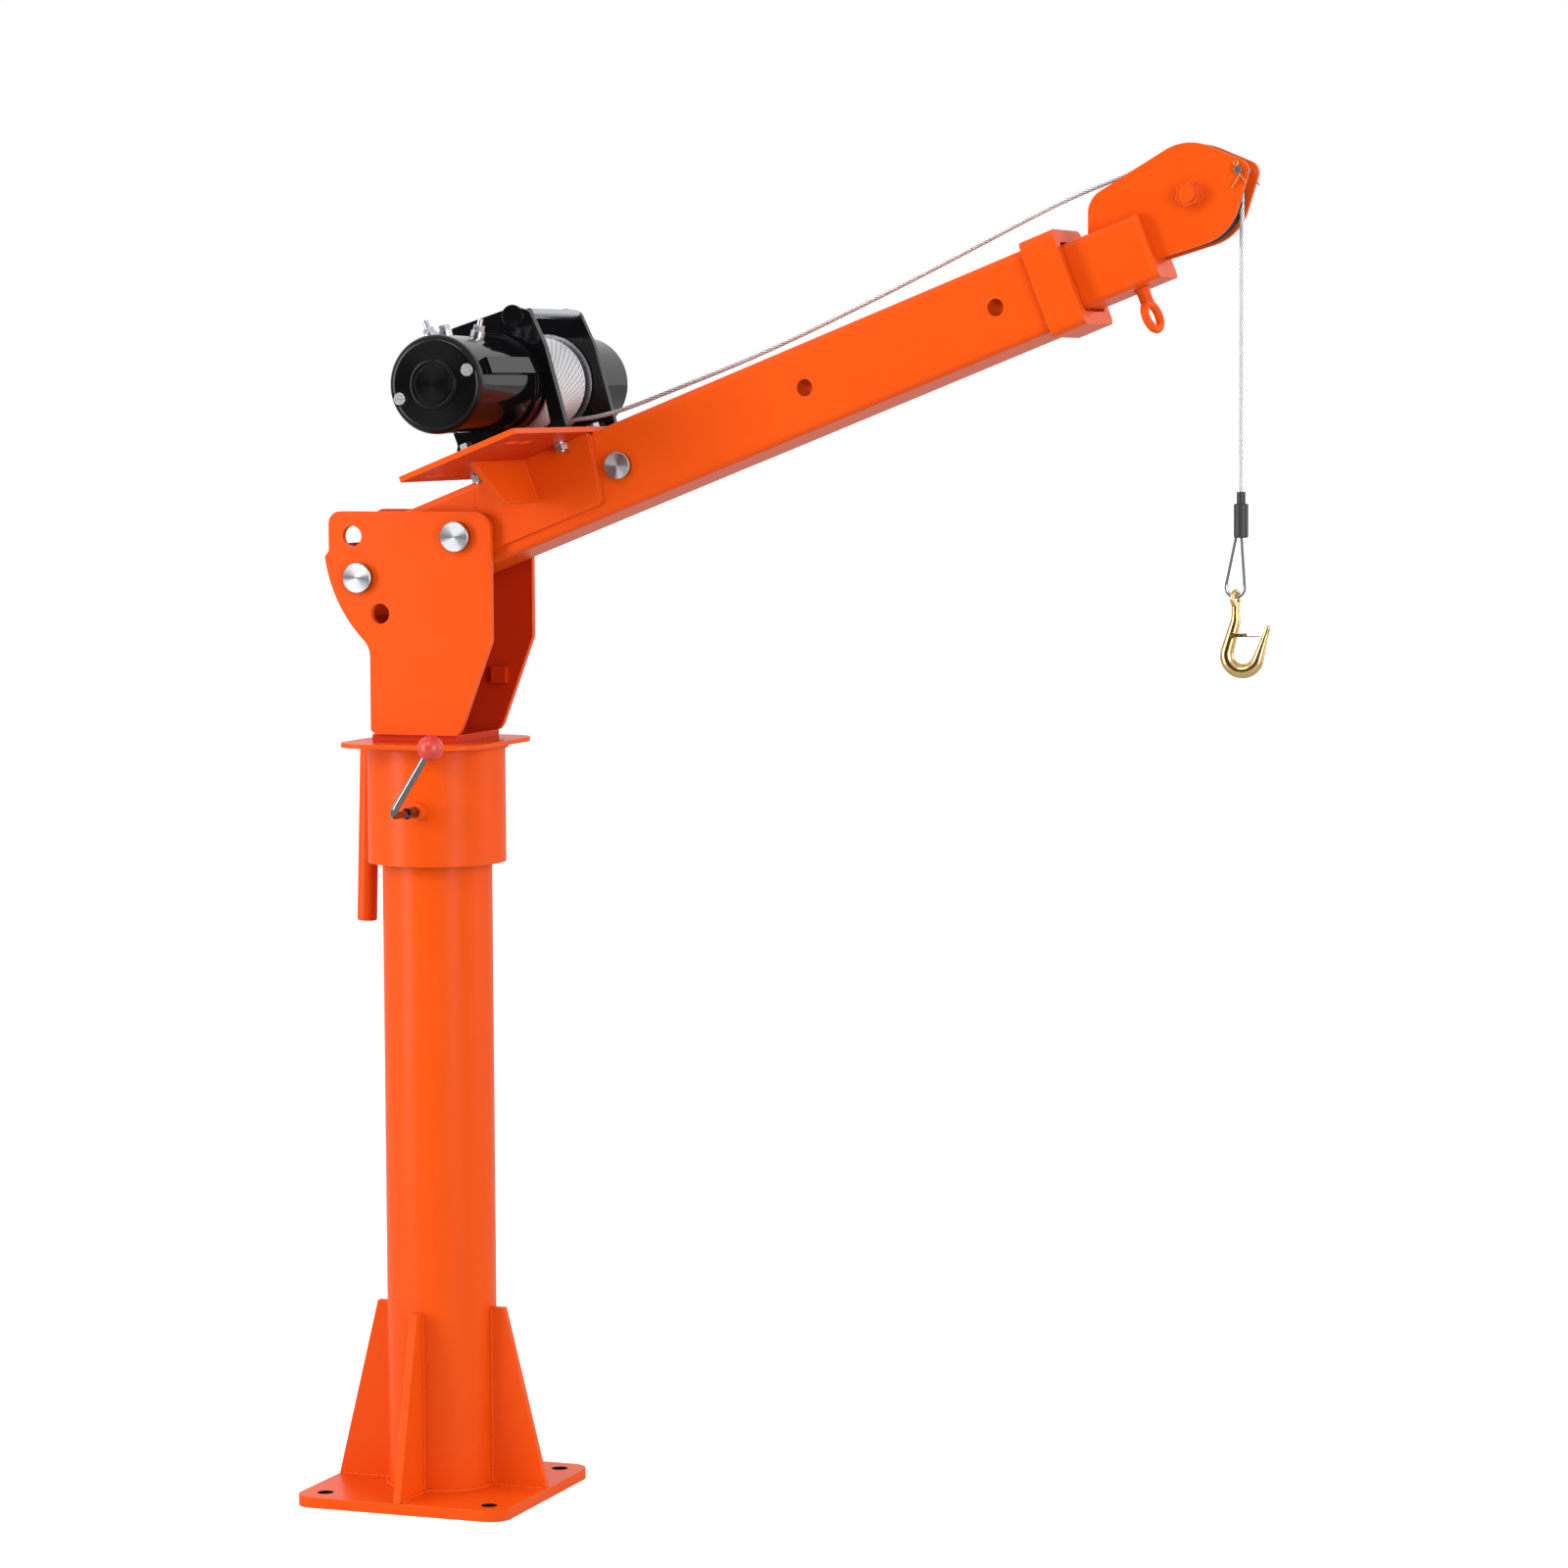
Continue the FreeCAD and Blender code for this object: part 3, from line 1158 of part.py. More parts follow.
save("load_line", rod(vec(line_x, 0, SLEEVE_TOP_Z), vec(line_x, 0, SHEAVE_CENTRE.z), ROPE_R))
save("rope_ferrule", rope_ferrule())
save("rope_loop", rope_loop())
save("thimble", thimble())
save("hook_eye", hook_eye())
save("hook", hook())
save("latch", latch())
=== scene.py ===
import math

import bmesh
import bpy
from mathutils import Matrix, Vector


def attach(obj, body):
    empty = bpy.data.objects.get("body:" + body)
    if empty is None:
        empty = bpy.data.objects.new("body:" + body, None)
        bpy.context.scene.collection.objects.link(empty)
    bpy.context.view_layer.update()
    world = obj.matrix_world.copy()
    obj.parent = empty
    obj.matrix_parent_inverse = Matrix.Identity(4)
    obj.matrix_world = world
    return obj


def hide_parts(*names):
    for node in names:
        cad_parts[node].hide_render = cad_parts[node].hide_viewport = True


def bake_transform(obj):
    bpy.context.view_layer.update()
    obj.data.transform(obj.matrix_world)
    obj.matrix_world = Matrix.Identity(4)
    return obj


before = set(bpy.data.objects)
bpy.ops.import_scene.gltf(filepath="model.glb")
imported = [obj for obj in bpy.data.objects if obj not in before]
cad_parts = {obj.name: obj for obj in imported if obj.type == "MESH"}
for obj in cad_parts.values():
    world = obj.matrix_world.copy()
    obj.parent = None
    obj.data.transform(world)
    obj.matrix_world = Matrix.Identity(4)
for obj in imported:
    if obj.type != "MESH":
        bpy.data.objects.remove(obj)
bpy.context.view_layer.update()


# Studio: a pale matt floor before a white screen, which the lens sees all round. Tall soft boxes
# stand at the left and the right, one hangs high in front, and the side behind the lens is dark.

def linear(colour):
    """An sRGB hex colour as linear red, green, blue and alpha."""
    parts = [int(colour[place:place + 2], 16) / 255 for place in (1, 3, 5)]
    return [c / 12.92 if c <= 0.04045 else ((c + 0.055) / 1.055) ** 2.4 for c in parts] + [1.0]


def add(tree, kind, sockets=None, **settings):
    """Adds a node with its settings; a socket takes a value or the output that feeds it."""
    node = tree.nodes.new(kind)
    for name, value in settings.items():
        setattr(node, name, value)
    for name, value in (sockets or {}).items():
        if isinstance(value, bpy.types.NodeSocket):
            tree.links.new(value, node.inputs[name])
        else:
            node.inputs[name].default_value = value
    return node


def new_material(name):
    """A material with an empty node tree, its shader and its output."""
    material = bpy.data.materials.new(name)
    material.use_nodes = True
    tree = material.node_tree
    tree.nodes.clear()
    shader = add(tree, "ShaderNodeBsdfPrincipled")
    add(tree, "ShaderNodeOutputMaterial", {"Surface": shader.outputs["BSDF"]})
    return material, tree, shader


def set_sockets(shader, **values):
    """Sets a shader's constants; an underscore stands for the space in a socket's name."""
    for name, value in values.items():
        shader.inputs[name.replace("_", " ")].default_value = value


# The floor's near edge stops short of the lens, so that nothing pale is mirrored from behind it.
floor_radius = 44
floor_middle = (0, 40.5, 0)
bpy.ops.object.select_all(action="DESELECT")
bpy.ops.mesh.primitive_circle_add(vertices=96, radius=floor_radius, fill_type="NGON", location=floor_middle)
bpy.ops.object.transform_apply(location=True)
floor = bpy.context.object
floor.name = "floor"
pale_floor, tree, shader = new_material("matt white floor paint")
seen = add(tree, "ShaderNodeLightPath")
grain = add(tree, "ShaderNodeTexNoise", {"Scale": 90.0, "Detail": 3.0})
bump = add(tree, "ShaderNodeBump", {"Strength": 0.04, "Distance": 0.001, "Height": grain.outputs["Fac"]})
tree.links.new(bump.outputs["Normal"], shader.inputs["Normal"])
glow = add(tree, "ShaderNodeMath", {0: seen.outputs["Is Camera Ray"], 1: 0.8}, operation="MULTIPLY")
tree.links.new(glow.outputs["Value"], shader.inputs["Emission Strength"])
set_sockets(shader, Base_Color=linear("#BABAB8"), Roughness=0.9, Emission_Color=linear("#FFFFFF"))
floor.data.materials.append(pale_floor)

sky = bpy.data.worlds.new("studio sky")
sky.use_nodes = True
bpy.context.scene.world = sky
tree = sky.node_tree
tree.nodes.clear()
# Cosines of the angles from the front at which the screen starts to darken and is dark.
darker_from, dark_from = 0.74, 0.92
towards = add(tree, "ShaderNodeTexCoord").outputs["Generated"]
facing = add(tree, "ShaderNodeVectorMath", {0: towards, 1: (0.0, -1.0, 0.0)}, operation="DOT_PRODUCT")
screen = add(tree, "ShaderNodeMapRange", {"Value": facing.outputs["Value"], "From Min": darker_from,
                                          "From Max": dark_from, "To Min": 0.95, "To Max": 0.05},
             interpolation_type="SMOOTHSTEP")
seen = add(tree, "ShaderNodeLightPath")
white = add(tree, "ShaderNodeMix", {0: seen.outputs["Is Camera Ray"], 2: screen.outputs["Result"], 3: 1.0})
dome = add(tree, "ShaderNodeBackground", {"Color": (1.0, 1.0, 1.0, 1.0), "Strength": white.outputs[0]})
add(tree, "ShaderNodeOutputWorld", {"Surface": dome.outputs["Background"]})


def soft_lamp(name, place, target, size, watts):
    """A rectangular soft box that faces its target."""
    data = bpy.data.lights.new(name, "AREA")
    data.shape = "RECTANGLE"
    data.size, data.size_y = size
    data.energy = watts
    lamp = bpy.data.objects.new(name, data)
    lamp.location = place
    lamp.rotation_euler = (Vector(target) - Vector(place)).to_track_quat("-Z", "Y").to_euler()
    bpy.context.collection.objects.link(lamp)


crane_middle = (0.2, 0, 0.8)
soft_lamp("left_box", (-2.6, -2.75, 1.4), crane_middle, (1.4, 3.0), 113)
soft_lamp("right_box", (3.6, 1.5, 1.4), crane_middle, (2.0, 3.0), 30)
soft_lamp("right_front_box", (3.7, -2.5, 1.4), crane_middle, (1.6, 3.0), 86)
soft_lamp("high_front_box", (-0.3, -3.2, 3.6), (0.2, 0, 0.9), (1.4, 0.5), 30)

camera_data = bpy.data.cameras.new("camera")
camera_data.sensor_width = 36.0
camera_data.lens = 113.0
camera = bpy.data.objects.new("camera", camera_data)
heading, tilt, roll = [math.radians(angle) for angle in (20.354, 85.468, -0.277)]
turn = Matrix.Rotation(heading, 4, "Z") @ Matrix.Rotation(tilt, 4, "X") @ Matrix.Rotation(roll, 4, "Z")
camera.matrix_world = Matrix.Translation((2.2217, -4.89696, 1.20733)) @ turn
bpy.context.collection.objects.link(camera)
bpy.context.scene.camera = camera
bpy.context.scene.view_settings.view_transform = "Standard"


# Column: base plate, four gussets, round tube and cap, all welded mild steel with one orange
# powder coat. The coat is glossy with a faint peel; its sheared edges are paler, partly from a thinner coat
# there and partly as painted highlight.

edge_ease = 0.0012


def powder_coat(name, body_colour, edge_wear_and_highlight_colour):
    """Stoved polyester powder over shot-blasted steel: an even gloss with a 5 mm peel."""
    material, tree, shader = new_material(name)
    place = add(tree, "ShaderNodeTexCoord").outputs["Object"]
    rounded = add(tree, "ShaderNodeBevel", {"Radius": edge_ease}, samples=4)
    flat = add(tree, "ShaderNodeNewGeometry")
    facing = add(tree, "ShaderNodeVectorMath", {0: rounded.outputs["Normal"], 1: flat.outputs["Normal"]},
                 operation="DOT_PRODUCT")
    edge = add(tree, "ShaderNodeMapRange", {"Value": facing.outputs["Value"], "From Min": 0.995,
                                            "From Max": 0.86, "To Min": 0.0, "To Max": 1.0})
    cloud = add(tree, "ShaderNodeTexNoise", {"Vector": place, "Scale": 9.0, "Detail": 2.0})
    tone = add(tree, "ShaderNodeMix", {0: cloud.outputs["Fac"], 6: linear(body_colour[0]),
                                       7: linear(body_colour[1])}, data_type="RGBA")
    # The paler edges are partly thin coat and wear, partly painted highlight.
    coat = add(tree, "ShaderNodeMix", {0: edge.outputs["Result"], 6: tone.outputs[2],
                                       7: linear(edge_wear_and_highlight_colour)}, data_type="RGBA")
    peel = add(tree, "ShaderNodeTexNoise", {"Vector": place, "Scale": 190.0, "Detail": 1.0})
    bump = add(tree, "ShaderNodeBump", {"Strength": 0.06, "Distance": 0.001,
                                        "Height": peel.outputs["Fac"], "Normal": rounded.outputs["Normal"]})
    tree.links.new(coat.outputs[2], shader.inputs["Base Color"])
    tree.links.new(bump.outputs["Normal"], shader.inputs["Normal"])
    rough = add(tree, "ShaderNodeMapRange", {"Value": cloud.outputs["Fac"], "To Min": 0.28, "To Max": 0.34})
    tree.links.new(rough.outputs["Result"], shader.inputs["Roughness"])
    shader.inputs["Specular IOR Level"].default_value = 0.1
    return material


def finish_nodes(material, *nodes):
    """Gives whole solids one finish."""
    for node in nodes:
        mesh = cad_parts[node].data
        mesh.materials.clear()
        mesh.materials.append(material)


orange_coat = powder_coat("orange powder coat", ("#D94B0C", "#DE4F0E"), "#E4713C")
finish_nodes(orange_coat, "base_plate", "base_gussets", "column_tube", "column_cap")

# The bolt holes' walls are painted dark brown: painted shade for the shade inside the holes.
bolt_reach = 0.0975
hole_radius = 0.0094
hole_wall_shade = powder_coat("painted shade in the bolt holes", ("#1E0F0A", "#27140D"), "#3A2118")
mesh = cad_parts["base_plate"].data
mesh.materials.append(hole_wall_shade)
for face in mesh.polygons:
    across = Vector((abs(face.center.x) - bolt_reach, abs(face.center.y) - bolt_reach))
    if across.length < hole_radius and abs(face.normal.z) < 0.3:
        face.material_index = 1


def weld_bead(name, body, route, throat, closed=False):
    """A fillet weld under the same coat: a bar along the joint that swells with each ripple."""
    route = [Vector(point) for point in route]
    if closed:
        route.append(route[0])
    step = 0.0016
    ripple_depth = 0.16
    ripple_turn = 1.57
    points = []
    for start, end in zip(route, route[1:]):
        count = max(1, round((end - start).length / step))
        points += [start.lerp(end, index / count) for index in range(count)]
    if not closed:
        points.append(route[-1])
    data = bpy.data.curves.new(name, "CURVE")
    data.dimensions = "3D"
    data.bevel_depth = throat
    data.bevel_resolution = 1
    data.use_fill_caps = True
    spline = data.splines.new("POLY")
    spline.points.add(len(points) - 1)
    for index, point in enumerate(points):
        spline.points[index].co = (*point, 1)
        spline.points[index].radius = 1.0 + ripple_depth * math.sin(index * ripple_turn)
    spline.use_cyclic_u = closed
    piece = bpy.data.objects.new(name, data)
    bpy.context.collection.objects.link(piece)
    bpy.ops.object.select_all(action="DESELECT")
    piece.select_set(True)
    bpy.context.view_layer.objects.active = piece
    bpy.ops.object.convert(target="MESH")
    bpy.ops.object.shade_smooth()
    piece = bpy.context.object
    piece.data.materials.clear()
    piece.data.materials.append(orange_coat)
    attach(piece, body)


def round_route(radius, z, start=0.0, sweep=360.0, steps=120):
    """Points round the column's axis at one height; a whole turn leaves out the last point."""
    last = steps if sweep == 360.0 else steps + 1
    turns = [math.radians(start + sweep * index / steps) for index in range(last)]
    return [(radius * math.cos(turn), radius * math.sin(turn), z) for turn in turns]


# The tube's foot is welded between the gussets, and each gusset on both sides, up the tube and
# along the plate.
past_gusset = 4.3
between_gussets = 81.4
for quarter in range(4):
    foot = round_route(0.0612, 0.0128, 90 * quarter + past_gusset, between_gussets, 40)
    weld_bead(f"foot_weld_{quarter}", "column", foot, 0.0024)
    turn = Matrix.Rotation(math.radians(90 * quarter), 4, "Z")
    for letter, side in (("a", -1), ("b", 1)):
        upright = [turn @ Vector((0.0606, side * 0.0042, z)) for z in (0.0145, 0.209)]
        weld_bead(f"gusset_weld_{quarter}_{letter}", "column", upright, 0.0019)
        level = [turn @ Vector((x, side * 0.0046, 0.0124)) for x in (0.063, 0.121)]
        weld_bead(f"toe_weld_{quarter}_{letter}", "column", level, 0.0019)


# Slewing head: sleeve with its flange, base block and two laser-cut cheeks, welded and coated
# like the column. Bronze bushes and a thrust washer carry it on the column.

finish_nodes(orange_coat, "slew_sleeve", "slew_flange", "cheek_near", "cheek_far", "push_bar", "clamp_boss")
# A darker, redder copy of the orange coat paints shade: the base block under the cheeks and the web between
# them take it, and so do other faces that shade falls on.
painted_shade_coat = powder_coat("orange powder coat with painted shade", ("#B62A0B", "#BC2D0D"), "#CC4A20")
finish_nodes(painted_shade_coat, "head_base", "cheek_web")


def paint_shade_on_faces(node, direction):
    """Paints shade on the faces that look this way: they take the darker, redder copy of the coat."""
    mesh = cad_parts[node].data
    mesh.materials.append(painted_shade_coat)
    for face in mesh.polygons:
        if face.normal.dot(Vector(direction)) > 0.9:
            face.material_index = 1


# The cheeks' inner faces, which face each other, are darkened as painted shade.
paint_shade_on_faces("cheek_far", (0, -1, 0))
paint_shade_on_faces("cheek_near", (0, 1, 0))


def metal(name, colour, other, roughness, grain_mm):
    """A worked metal: two tones in fine cloudy grain, with roughness that follows it."""
    material, tree, shader = new_material(name)
    place = add(tree, "ShaderNodeTexCoord").outputs["Object"]
    grain = add(tree, "ShaderNodeTexNoise", {"Vector": place, "Scale": 1000 / grain_mm, "Detail": 4.0})
    tone = add(tree, "ShaderNodeMix", {0: grain.outputs["Fac"], 6: linear(colour), 7: linear(other)},
               data_type="RGBA")
    rough = add(tree, "ShaderNodeMapRange", {"Value": grain.outputs["Fac"], "To Min": roughness - 0.06,
                                             "To Max": roughness + 0.06})
    rounded = add(tree, "ShaderNodeBevel", {"Radius": 0.0004}, samples=4)
    bump = add(tree, "ShaderNodeBump", {"Strength": 0.05, "Distance": 0.001,
                                        "Height": grain.outputs["Fac"], "Normal": rounded.outputs["Normal"]})
    tree.links.new(tone.outputs[2], shader.inputs["Base Color"])
    tree.links.new(rough.outputs["Result"], shader.inputs["Roughness"])
    tree.links.new(bump.outputs["Normal"], shader.inputs["Normal"])
    set_sockets(shader, Metallic=1.0)
    return material


bronze = metal("turned bronze", "#B98A4E", "#A97A40", 0.35, 6.0)
finish_nodes(bronze, "sleeve_bushes", "thrust_washer")
# Nuts, bolts and bars are electroplated in a barrel, which leaves the zinc bright.
bright_zinc = metal("bright zinc plating", "#C9CBCF", "#AEB1B6", 0.28, 4.0)
finish_nodes(bright_zinc, "king_bolt", "pivot_nut")
weld_bead("flange_weld", "slew_head", round_route(0.0768, 0.8262), 0.0022, closed=True)


# Pins: the boom's pivot, the angle lock and the extension lock, turned from bright round bar.
# Their faced heads keep fine rings from the lathe, which draw the light into a cone.

def turned_bar(name):
    """Bright round bar, faced in a lathe: the rings stretch each light across themselves."""
    material, tree, shader = new_material(name)
    place = add(tree, "ShaderNodeTexCoord").outputs["Object"]
    grain = add(tree, "ShaderNodeTexNoise", {"Vector": place, "Scale": 160.0, "Detail": 3.0})
    tone = add(tree, "ShaderNodeMix", {0: grain.outputs["Fac"], 6: linear("#B9BABD"), 7: linear("#A7A9AD")},
               data_type="RGBA")
    across = add(tree, "ShaderNodeTangent", direction_type="RADIAL", axis="Y")
    tree.links.new(tone.outputs[2], shader.inputs["Base Color"])
    tree.links.new(across.outputs["Tangent"], shader.inputs["Tangent"])
    set_sockets(shader, Metallic=1.0, Roughness=0.3, Anisotropic=1.0)
    return material


turned_steel = turned_bar("faced bright steel bar")
finish_nodes(turned_steel, "pivot_pin", "angle_pin", "extension_pin")


# Sleeve clamp: a screw through the sleeve with a chromed bar bent square, and a moulded ball
# pressed on its end. The pad at its inner end grips the column.

def chromed(name):
    """Bright chrome over polished bar: nearly a mirror, with a faint wave."""
    material, tree, shader = new_material(name)
    place = add(tree, "ShaderNodeTexCoord").outputs["Object"]
    wave = add(tree, "ShaderNodeTexNoise", {"Vector": place, "Scale": 120.0, "Detail": 2.0})
    bump = add(tree, "ShaderNodeBump", {"Strength": 0.03, "Distance": 0.001, "Height": wave.outputs["Fac"]})
    tone = add(tree, "ShaderNodeMix", {0: wave.outputs["Fac"], 6: linear("#85878B"), 7: linear("#6F7176")},
               data_type="RGBA")
    tree.links.new(tone.outputs[2], shader.inputs["Base Color"])
    tree.links.new(bump.outputs["Normal"], shader.inputs["Normal"])
    set_sockets(shader, Metallic=1.0, Roughness=0.07)
    return material


finish_nodes(chromed("chromed round bar"), "clamp_screw")
finish_nodes(bright_zinc, "clamp_pad")


def moulded(name, colour, other, roughness):
    """A moulded plastic with a fine even skin."""
    material, tree, shader = new_material(name)
    place = add(tree, "ShaderNodeTexCoord").outputs["Object"]
    skin = add(tree, "ShaderNodeTexNoise", {"Vector": place, "Scale": 400.0, "Detail": 2.0})
    tone = add(tree, "ShaderNodeMix", {0: skin.outputs["Fac"], 6: linear(colour), 7: linear(other)},
               data_type="RGBA")
    bump = add(tree, "ShaderNodeBump", {"Strength": 0.05, "Distance": 0.0006, "Height": skin.outputs["Fac"]})
    tree.links.new(tone.outputs[2], shader.inputs["Base Color"])
    tree.links.new(bump.outputs["Normal"], shader.inputs["Normal"])
    set_sockets(shader, Roughness=roughness, IOR=1.5)
    return material


def smooth_piece(piece, material, body, slot, *nodes, angle=35):
    """Shades a piece, gives it its finish and puts it on its body; a piece that pays out between two is left
    loose in world space.
    """
    bpy.ops.object.select_all(action="DESELECT")
    piece.select_set(True)
    bpy.context.view_layer.objects.active = piece
    bpy.ops.object.transform_apply(location=True, rotation=True, scale=True)
    bpy.ops.object.shade_smooth_by_angle(angle=math.radians(angle))
    piece.data.materials.clear()
    piece.data.materials.append(material)
    if isinstance(body, str):
        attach(piece, body)
    else:
        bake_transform(piece)
    if nodes:
        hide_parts(*nodes)


red_plastic = moulded("moulded red phenolic", "#C0332B", "#C83B32", 0.3)
lean = math.radians(32.4)
lever_along = Vector((math.sin(lean), 0, math.cos(lean)))
lever_bend = Vector((0.011, -0.143, 0.760))
lever_length = 0.088
bpy.ops.object.select_all(action="DESELECT")
bpy.ops.mesh.primitive_uv_sphere_add(segments=48, ring_count=24, radius=0.014, location=(0, 0, 0))
ball = bpy.context.object
ball.name = "clamp_ball_grip"
bpy.ops.object.mode_set(mode="EDIT")

# The bar enters through a small recess, and the mould's halves leave a low band round the middle.
bpy.ops.mesh.select_all(action="DESELECT")
shell = bmesh.from_edit_mesh(ball.data)
for face in shell.faces:
    face.select = face.calc_center_median().z < -0.0122
bmesh.update_edit_mesh(ball.data)
bpy.ops.mesh.inset(thickness=0.0005)
bpy.ops.mesh.extrude_region_move(TRANSFORM_OT_translate={"value": (0, 0, 0.0012)})
bpy.ops.mesh.select_all(action="DESELECT")
for face in bmesh.from_edit_mesh(ball.data).faces:
    face.select = abs(face.calc_center_median().z) < 0.0012
bpy.ops.transform.resize(value=(1.012, 1.012, 1.0))
bpy.ops.object.mode_set(mode="OBJECT")
ball.rotation_euler = (0, lean, 0)
ball.location = lever_bend + lever_along * lever_length
smooth_piece(ball, red_plastic, "clamp_lever", "red_ball", "clamp_ball")


# Outer boom: a straight square tube with a thin plate that closes its tail, a collar welded round
# its mouth, and a pivot sleeve through it. Milled nylon pads line the mouth after coating.

boom_turn = Matrix.Translation((0.054, 0, 1.056)) @ Matrix.Rotation(math.radians(-21.2), 4, "Y")


def on_boom(u, y, v):
    """A point given along the boom, across it and above the pivot, in millimetres."""
    return boom_turn @ Vector((u / 1000, y / 1000, v / 1000))


bpy.ops.object.select_all(action="DESELECT")
bpy.ops.mesh.primitive_cube_add(size=1, location=(0, 0, 0))
tail = bpy.context.object
tail.name = "boom_tail_plate"
plate_width = 0.0798
plate_thickness = 0.003
tail.data.transform(Matrix.Diagonal((plate_thickness, plate_width, plate_width, 1)))
bpy.ops.object.mode_set(mode="EDIT")
bpy.ops.mesh.select_all(action="DESELECT")
shell = bmesh.from_edit_mesh(tail.data)
for edge in shell.edges:
    one, other = edge.verts
    edge.select = abs(one.co.x - other.co.x) > 0.001
bmesh.update_edit_mesh(tail.data)
bpy.ops.mesh.bevel(offset=0.003, segments=3)
bpy.ops.mesh.select_all(action="DESELECT")
for face in bmesh.from_edit_mesh(tail.data).faces:
    face.select = abs(face.normal.x) > 0.9
bpy.ops.mesh.inset(thickness=0.0006, use_individual=True)
bpy.ops.object.mode_set(mode="OBJECT")
tail.matrix_world = boom_turn @ Matrix.Translation((-0.1403, 0, 0.005))
# The tail plate takes the darker coat as painted shade, for the shade between the cheeks.
smooth_piece(tail, painted_shade_coat, "boom", "orange_paint")

collar_u = 695.2
for letter, side in (("a", -1), ("b", 1)):
    weld_bead(f"collar_weld_{letter}", "boom", [on_boom(collar_u, side * 45.6, v) for v in (-32, 42)], 0.0016)
    doubler_foot = [on_boom(u, side * 46.4, v) for u, v in ((178.8, 48), (166.8, -24))]
    weld_bead(f"doubler_weld_{letter}", "boom", doubler_foot, 0.0012)
for name, v in (("collar_weld_top", 50.6), ("collar_weld_under", -40.6)):
    weld_bead(name, "boom", [on_boom(collar_u, y, v) for y in (-37, 37)], 0.0016)

nylon = moulded("natural cast nylon", "#E6E2D4", "#DDD8C8", 0.5)
finish_nodes(orange_coat, "boom_outer", "boom_collar", "pivot_sleeve")
finish_nodes(nylon, "boom_pads", "inner_pads")


# Inner boom: a smaller square tube with four nylon pads, an end plate, and a lifting eye bent from
# round bar. The eye is welded under the tube, and the whole is coated before the pads go on.

finish_nodes(orange_coat, "boom_inner", "inner_end_plate", "lifting_eye")

# The ring's shank flares where it meets the tube.
eye_turn = math.radians(-12)
bpy.ops.object.select_all(action="DESELECT")
bpy.ops.mesh.primitive_torus_add(major_radius=0.014, minor_radius=0.0045,
                                 major_segments=64, minor_segments=20, location=(0, 0, 0))
eye = bpy.context.object
eye.name = "welded_lifting_eye"
eye.data.transform(Matrix.Rotation(eye_turn, 4, "Z") @ Matrix.Rotation(math.radians(90), 4, "Y"))
bpy.ops.object.mode_set(mode="EDIT")
bpy.ops.mesh.select_all(action="DESELECT")
bpy.ops.mesh.primitive_cylinder_add(vertices=40, radius=0.007, depth=0.0115, location=(0, 0, 0.0201))
bpy.ops.mesh.select_all(action="DESELECT")
for face in bmesh.from_edit_mesh(eye.data).faces:
    face.select = face.calc_center_median().z > 0.0257
bpy.ops.mesh.extrude_region_move(TRANSFORM_OT_translate={"value": (0, 0, 0.0044)})
bpy.ops.transform.resize(value=(1.29, 1.29, 1.0))
bpy.ops.mesh.select_all(action="DESELECT")
bpy.ops.object.mode_set(mode="OBJECT")
eye.matrix_world = boom_turn @ Matrix.Translation((0.789, 0, -0.0605))
smooth_piece(eye, orange_coat, "inner_boom", "orange_paint", "lifting_eye")


# Boom head: two plates cut from 6 mm sheet and welded along the tube, with a cast sheave between
# them on an axle bolt. A keeper pin with a split pin at each end holds the rope in its groove.

cast_sheave = metal("machined cast iron", "#3F3B3A", "#312E2D", 0.45, 3.0)
finish_nodes(orange_coat, "head_plate_near", "head_plate_far", "head_axle")
finish_nodes(cast_sheave, "sheave")
finish_nodes(bright_zinc, "keeper_pin")
finish_nodes(metal("drawn brass wire", "#DDA971", "#C48F58", 0.3, 3.0), "keeper_cotters")


# Winch seat: a slotted plate across the boom, with a doubler down each side of the tube and a web
# under each wing. The underside is darkened as painted shade, for the shade under the plate.

finish_nodes(orange_coat, "winch_plate", "winch_gussets")
paint_shade_on_faces("winch_plate", (0.36, 0, -0.93))


# Winch: two pressed side frames tied by bright bars, with the motor outside one and the gearbox
# outside the other. Castings and frames are dipped in gloss black enamel and stoved.

def enamel(name, colour, other):
    """Stoved black enamel, dipped: a hard gloss that lies in a slow wave."""
    material, tree, shader = new_material(name)
    place = add(tree, "ShaderNodeTexCoord").outputs["Object"]
    rounded = add(tree, "ShaderNodeBevel", {"Radius": edge_ease}, samples=4)
    wave = add(tree, "ShaderNodeTexNoise", {"Vector": place, "Scale": 150.0, "Detail": 1.0})
    tone = add(tree, "ShaderNodeMix", {0: wave.outputs["Fac"], 6: linear(colour), 7: linear(other)},
               data_type="RGBA")
    bump = add(tree, "ShaderNodeBump", {"Strength": 0.05, "Distance": 0.001, "Height": wave.outputs["Fac"],
                                        "Normal": rounded.outputs["Normal"]})
    tree.links.new(tone.outputs[2], shader.inputs["Base Color"])
    tree.links.new(bump.outputs["Normal"], shader.inputs["Normal"])
    set_sockets(shader, Roughness=0.07, Specular_IOR_Level=0.3)
    return material


black_enamel = enamel("gloss black enamel", "#08080A", "#0D0D0F")
finish_nodes(black_enamel, "drum_support_near", "drum_support_far", "motor_housing", "gear_housing",
             "clutch_knob")

# The end cap is faced in a lathe before it is dipped, and the rings still show through.
turned_enamel = enamel("black enamel over a turned face", "#060607", "#0A0A0C")
tree = turned_enamel.node_tree
rings = add(tree, "ShaderNodeTangent", direction_type="RADIAL", axis="Y")
shader = next(node for node in tree.nodes if node.type == "BSDF_PRINCIPLED")
tree.links.new(rings.outputs["Tangent"], shader.inputs["Tangent"])
set_sockets(shader, Roughness=0.15, Anisotropic=0.95, Specular_IOR_Level=0.2)
finish_nodes(turned_enamel, "motor_end_cap")
finish_nodes(bright_zinc, "winch_bolts", "tie_bars", "cap_screws", "motor_terminals", "drum", "thimble")


# Wire rope: galvanised, six strands laid round a core, 5 mm over all. One length lies wound on the
# drum, runs slack over the boom to the sheave, and hangs to the hook.

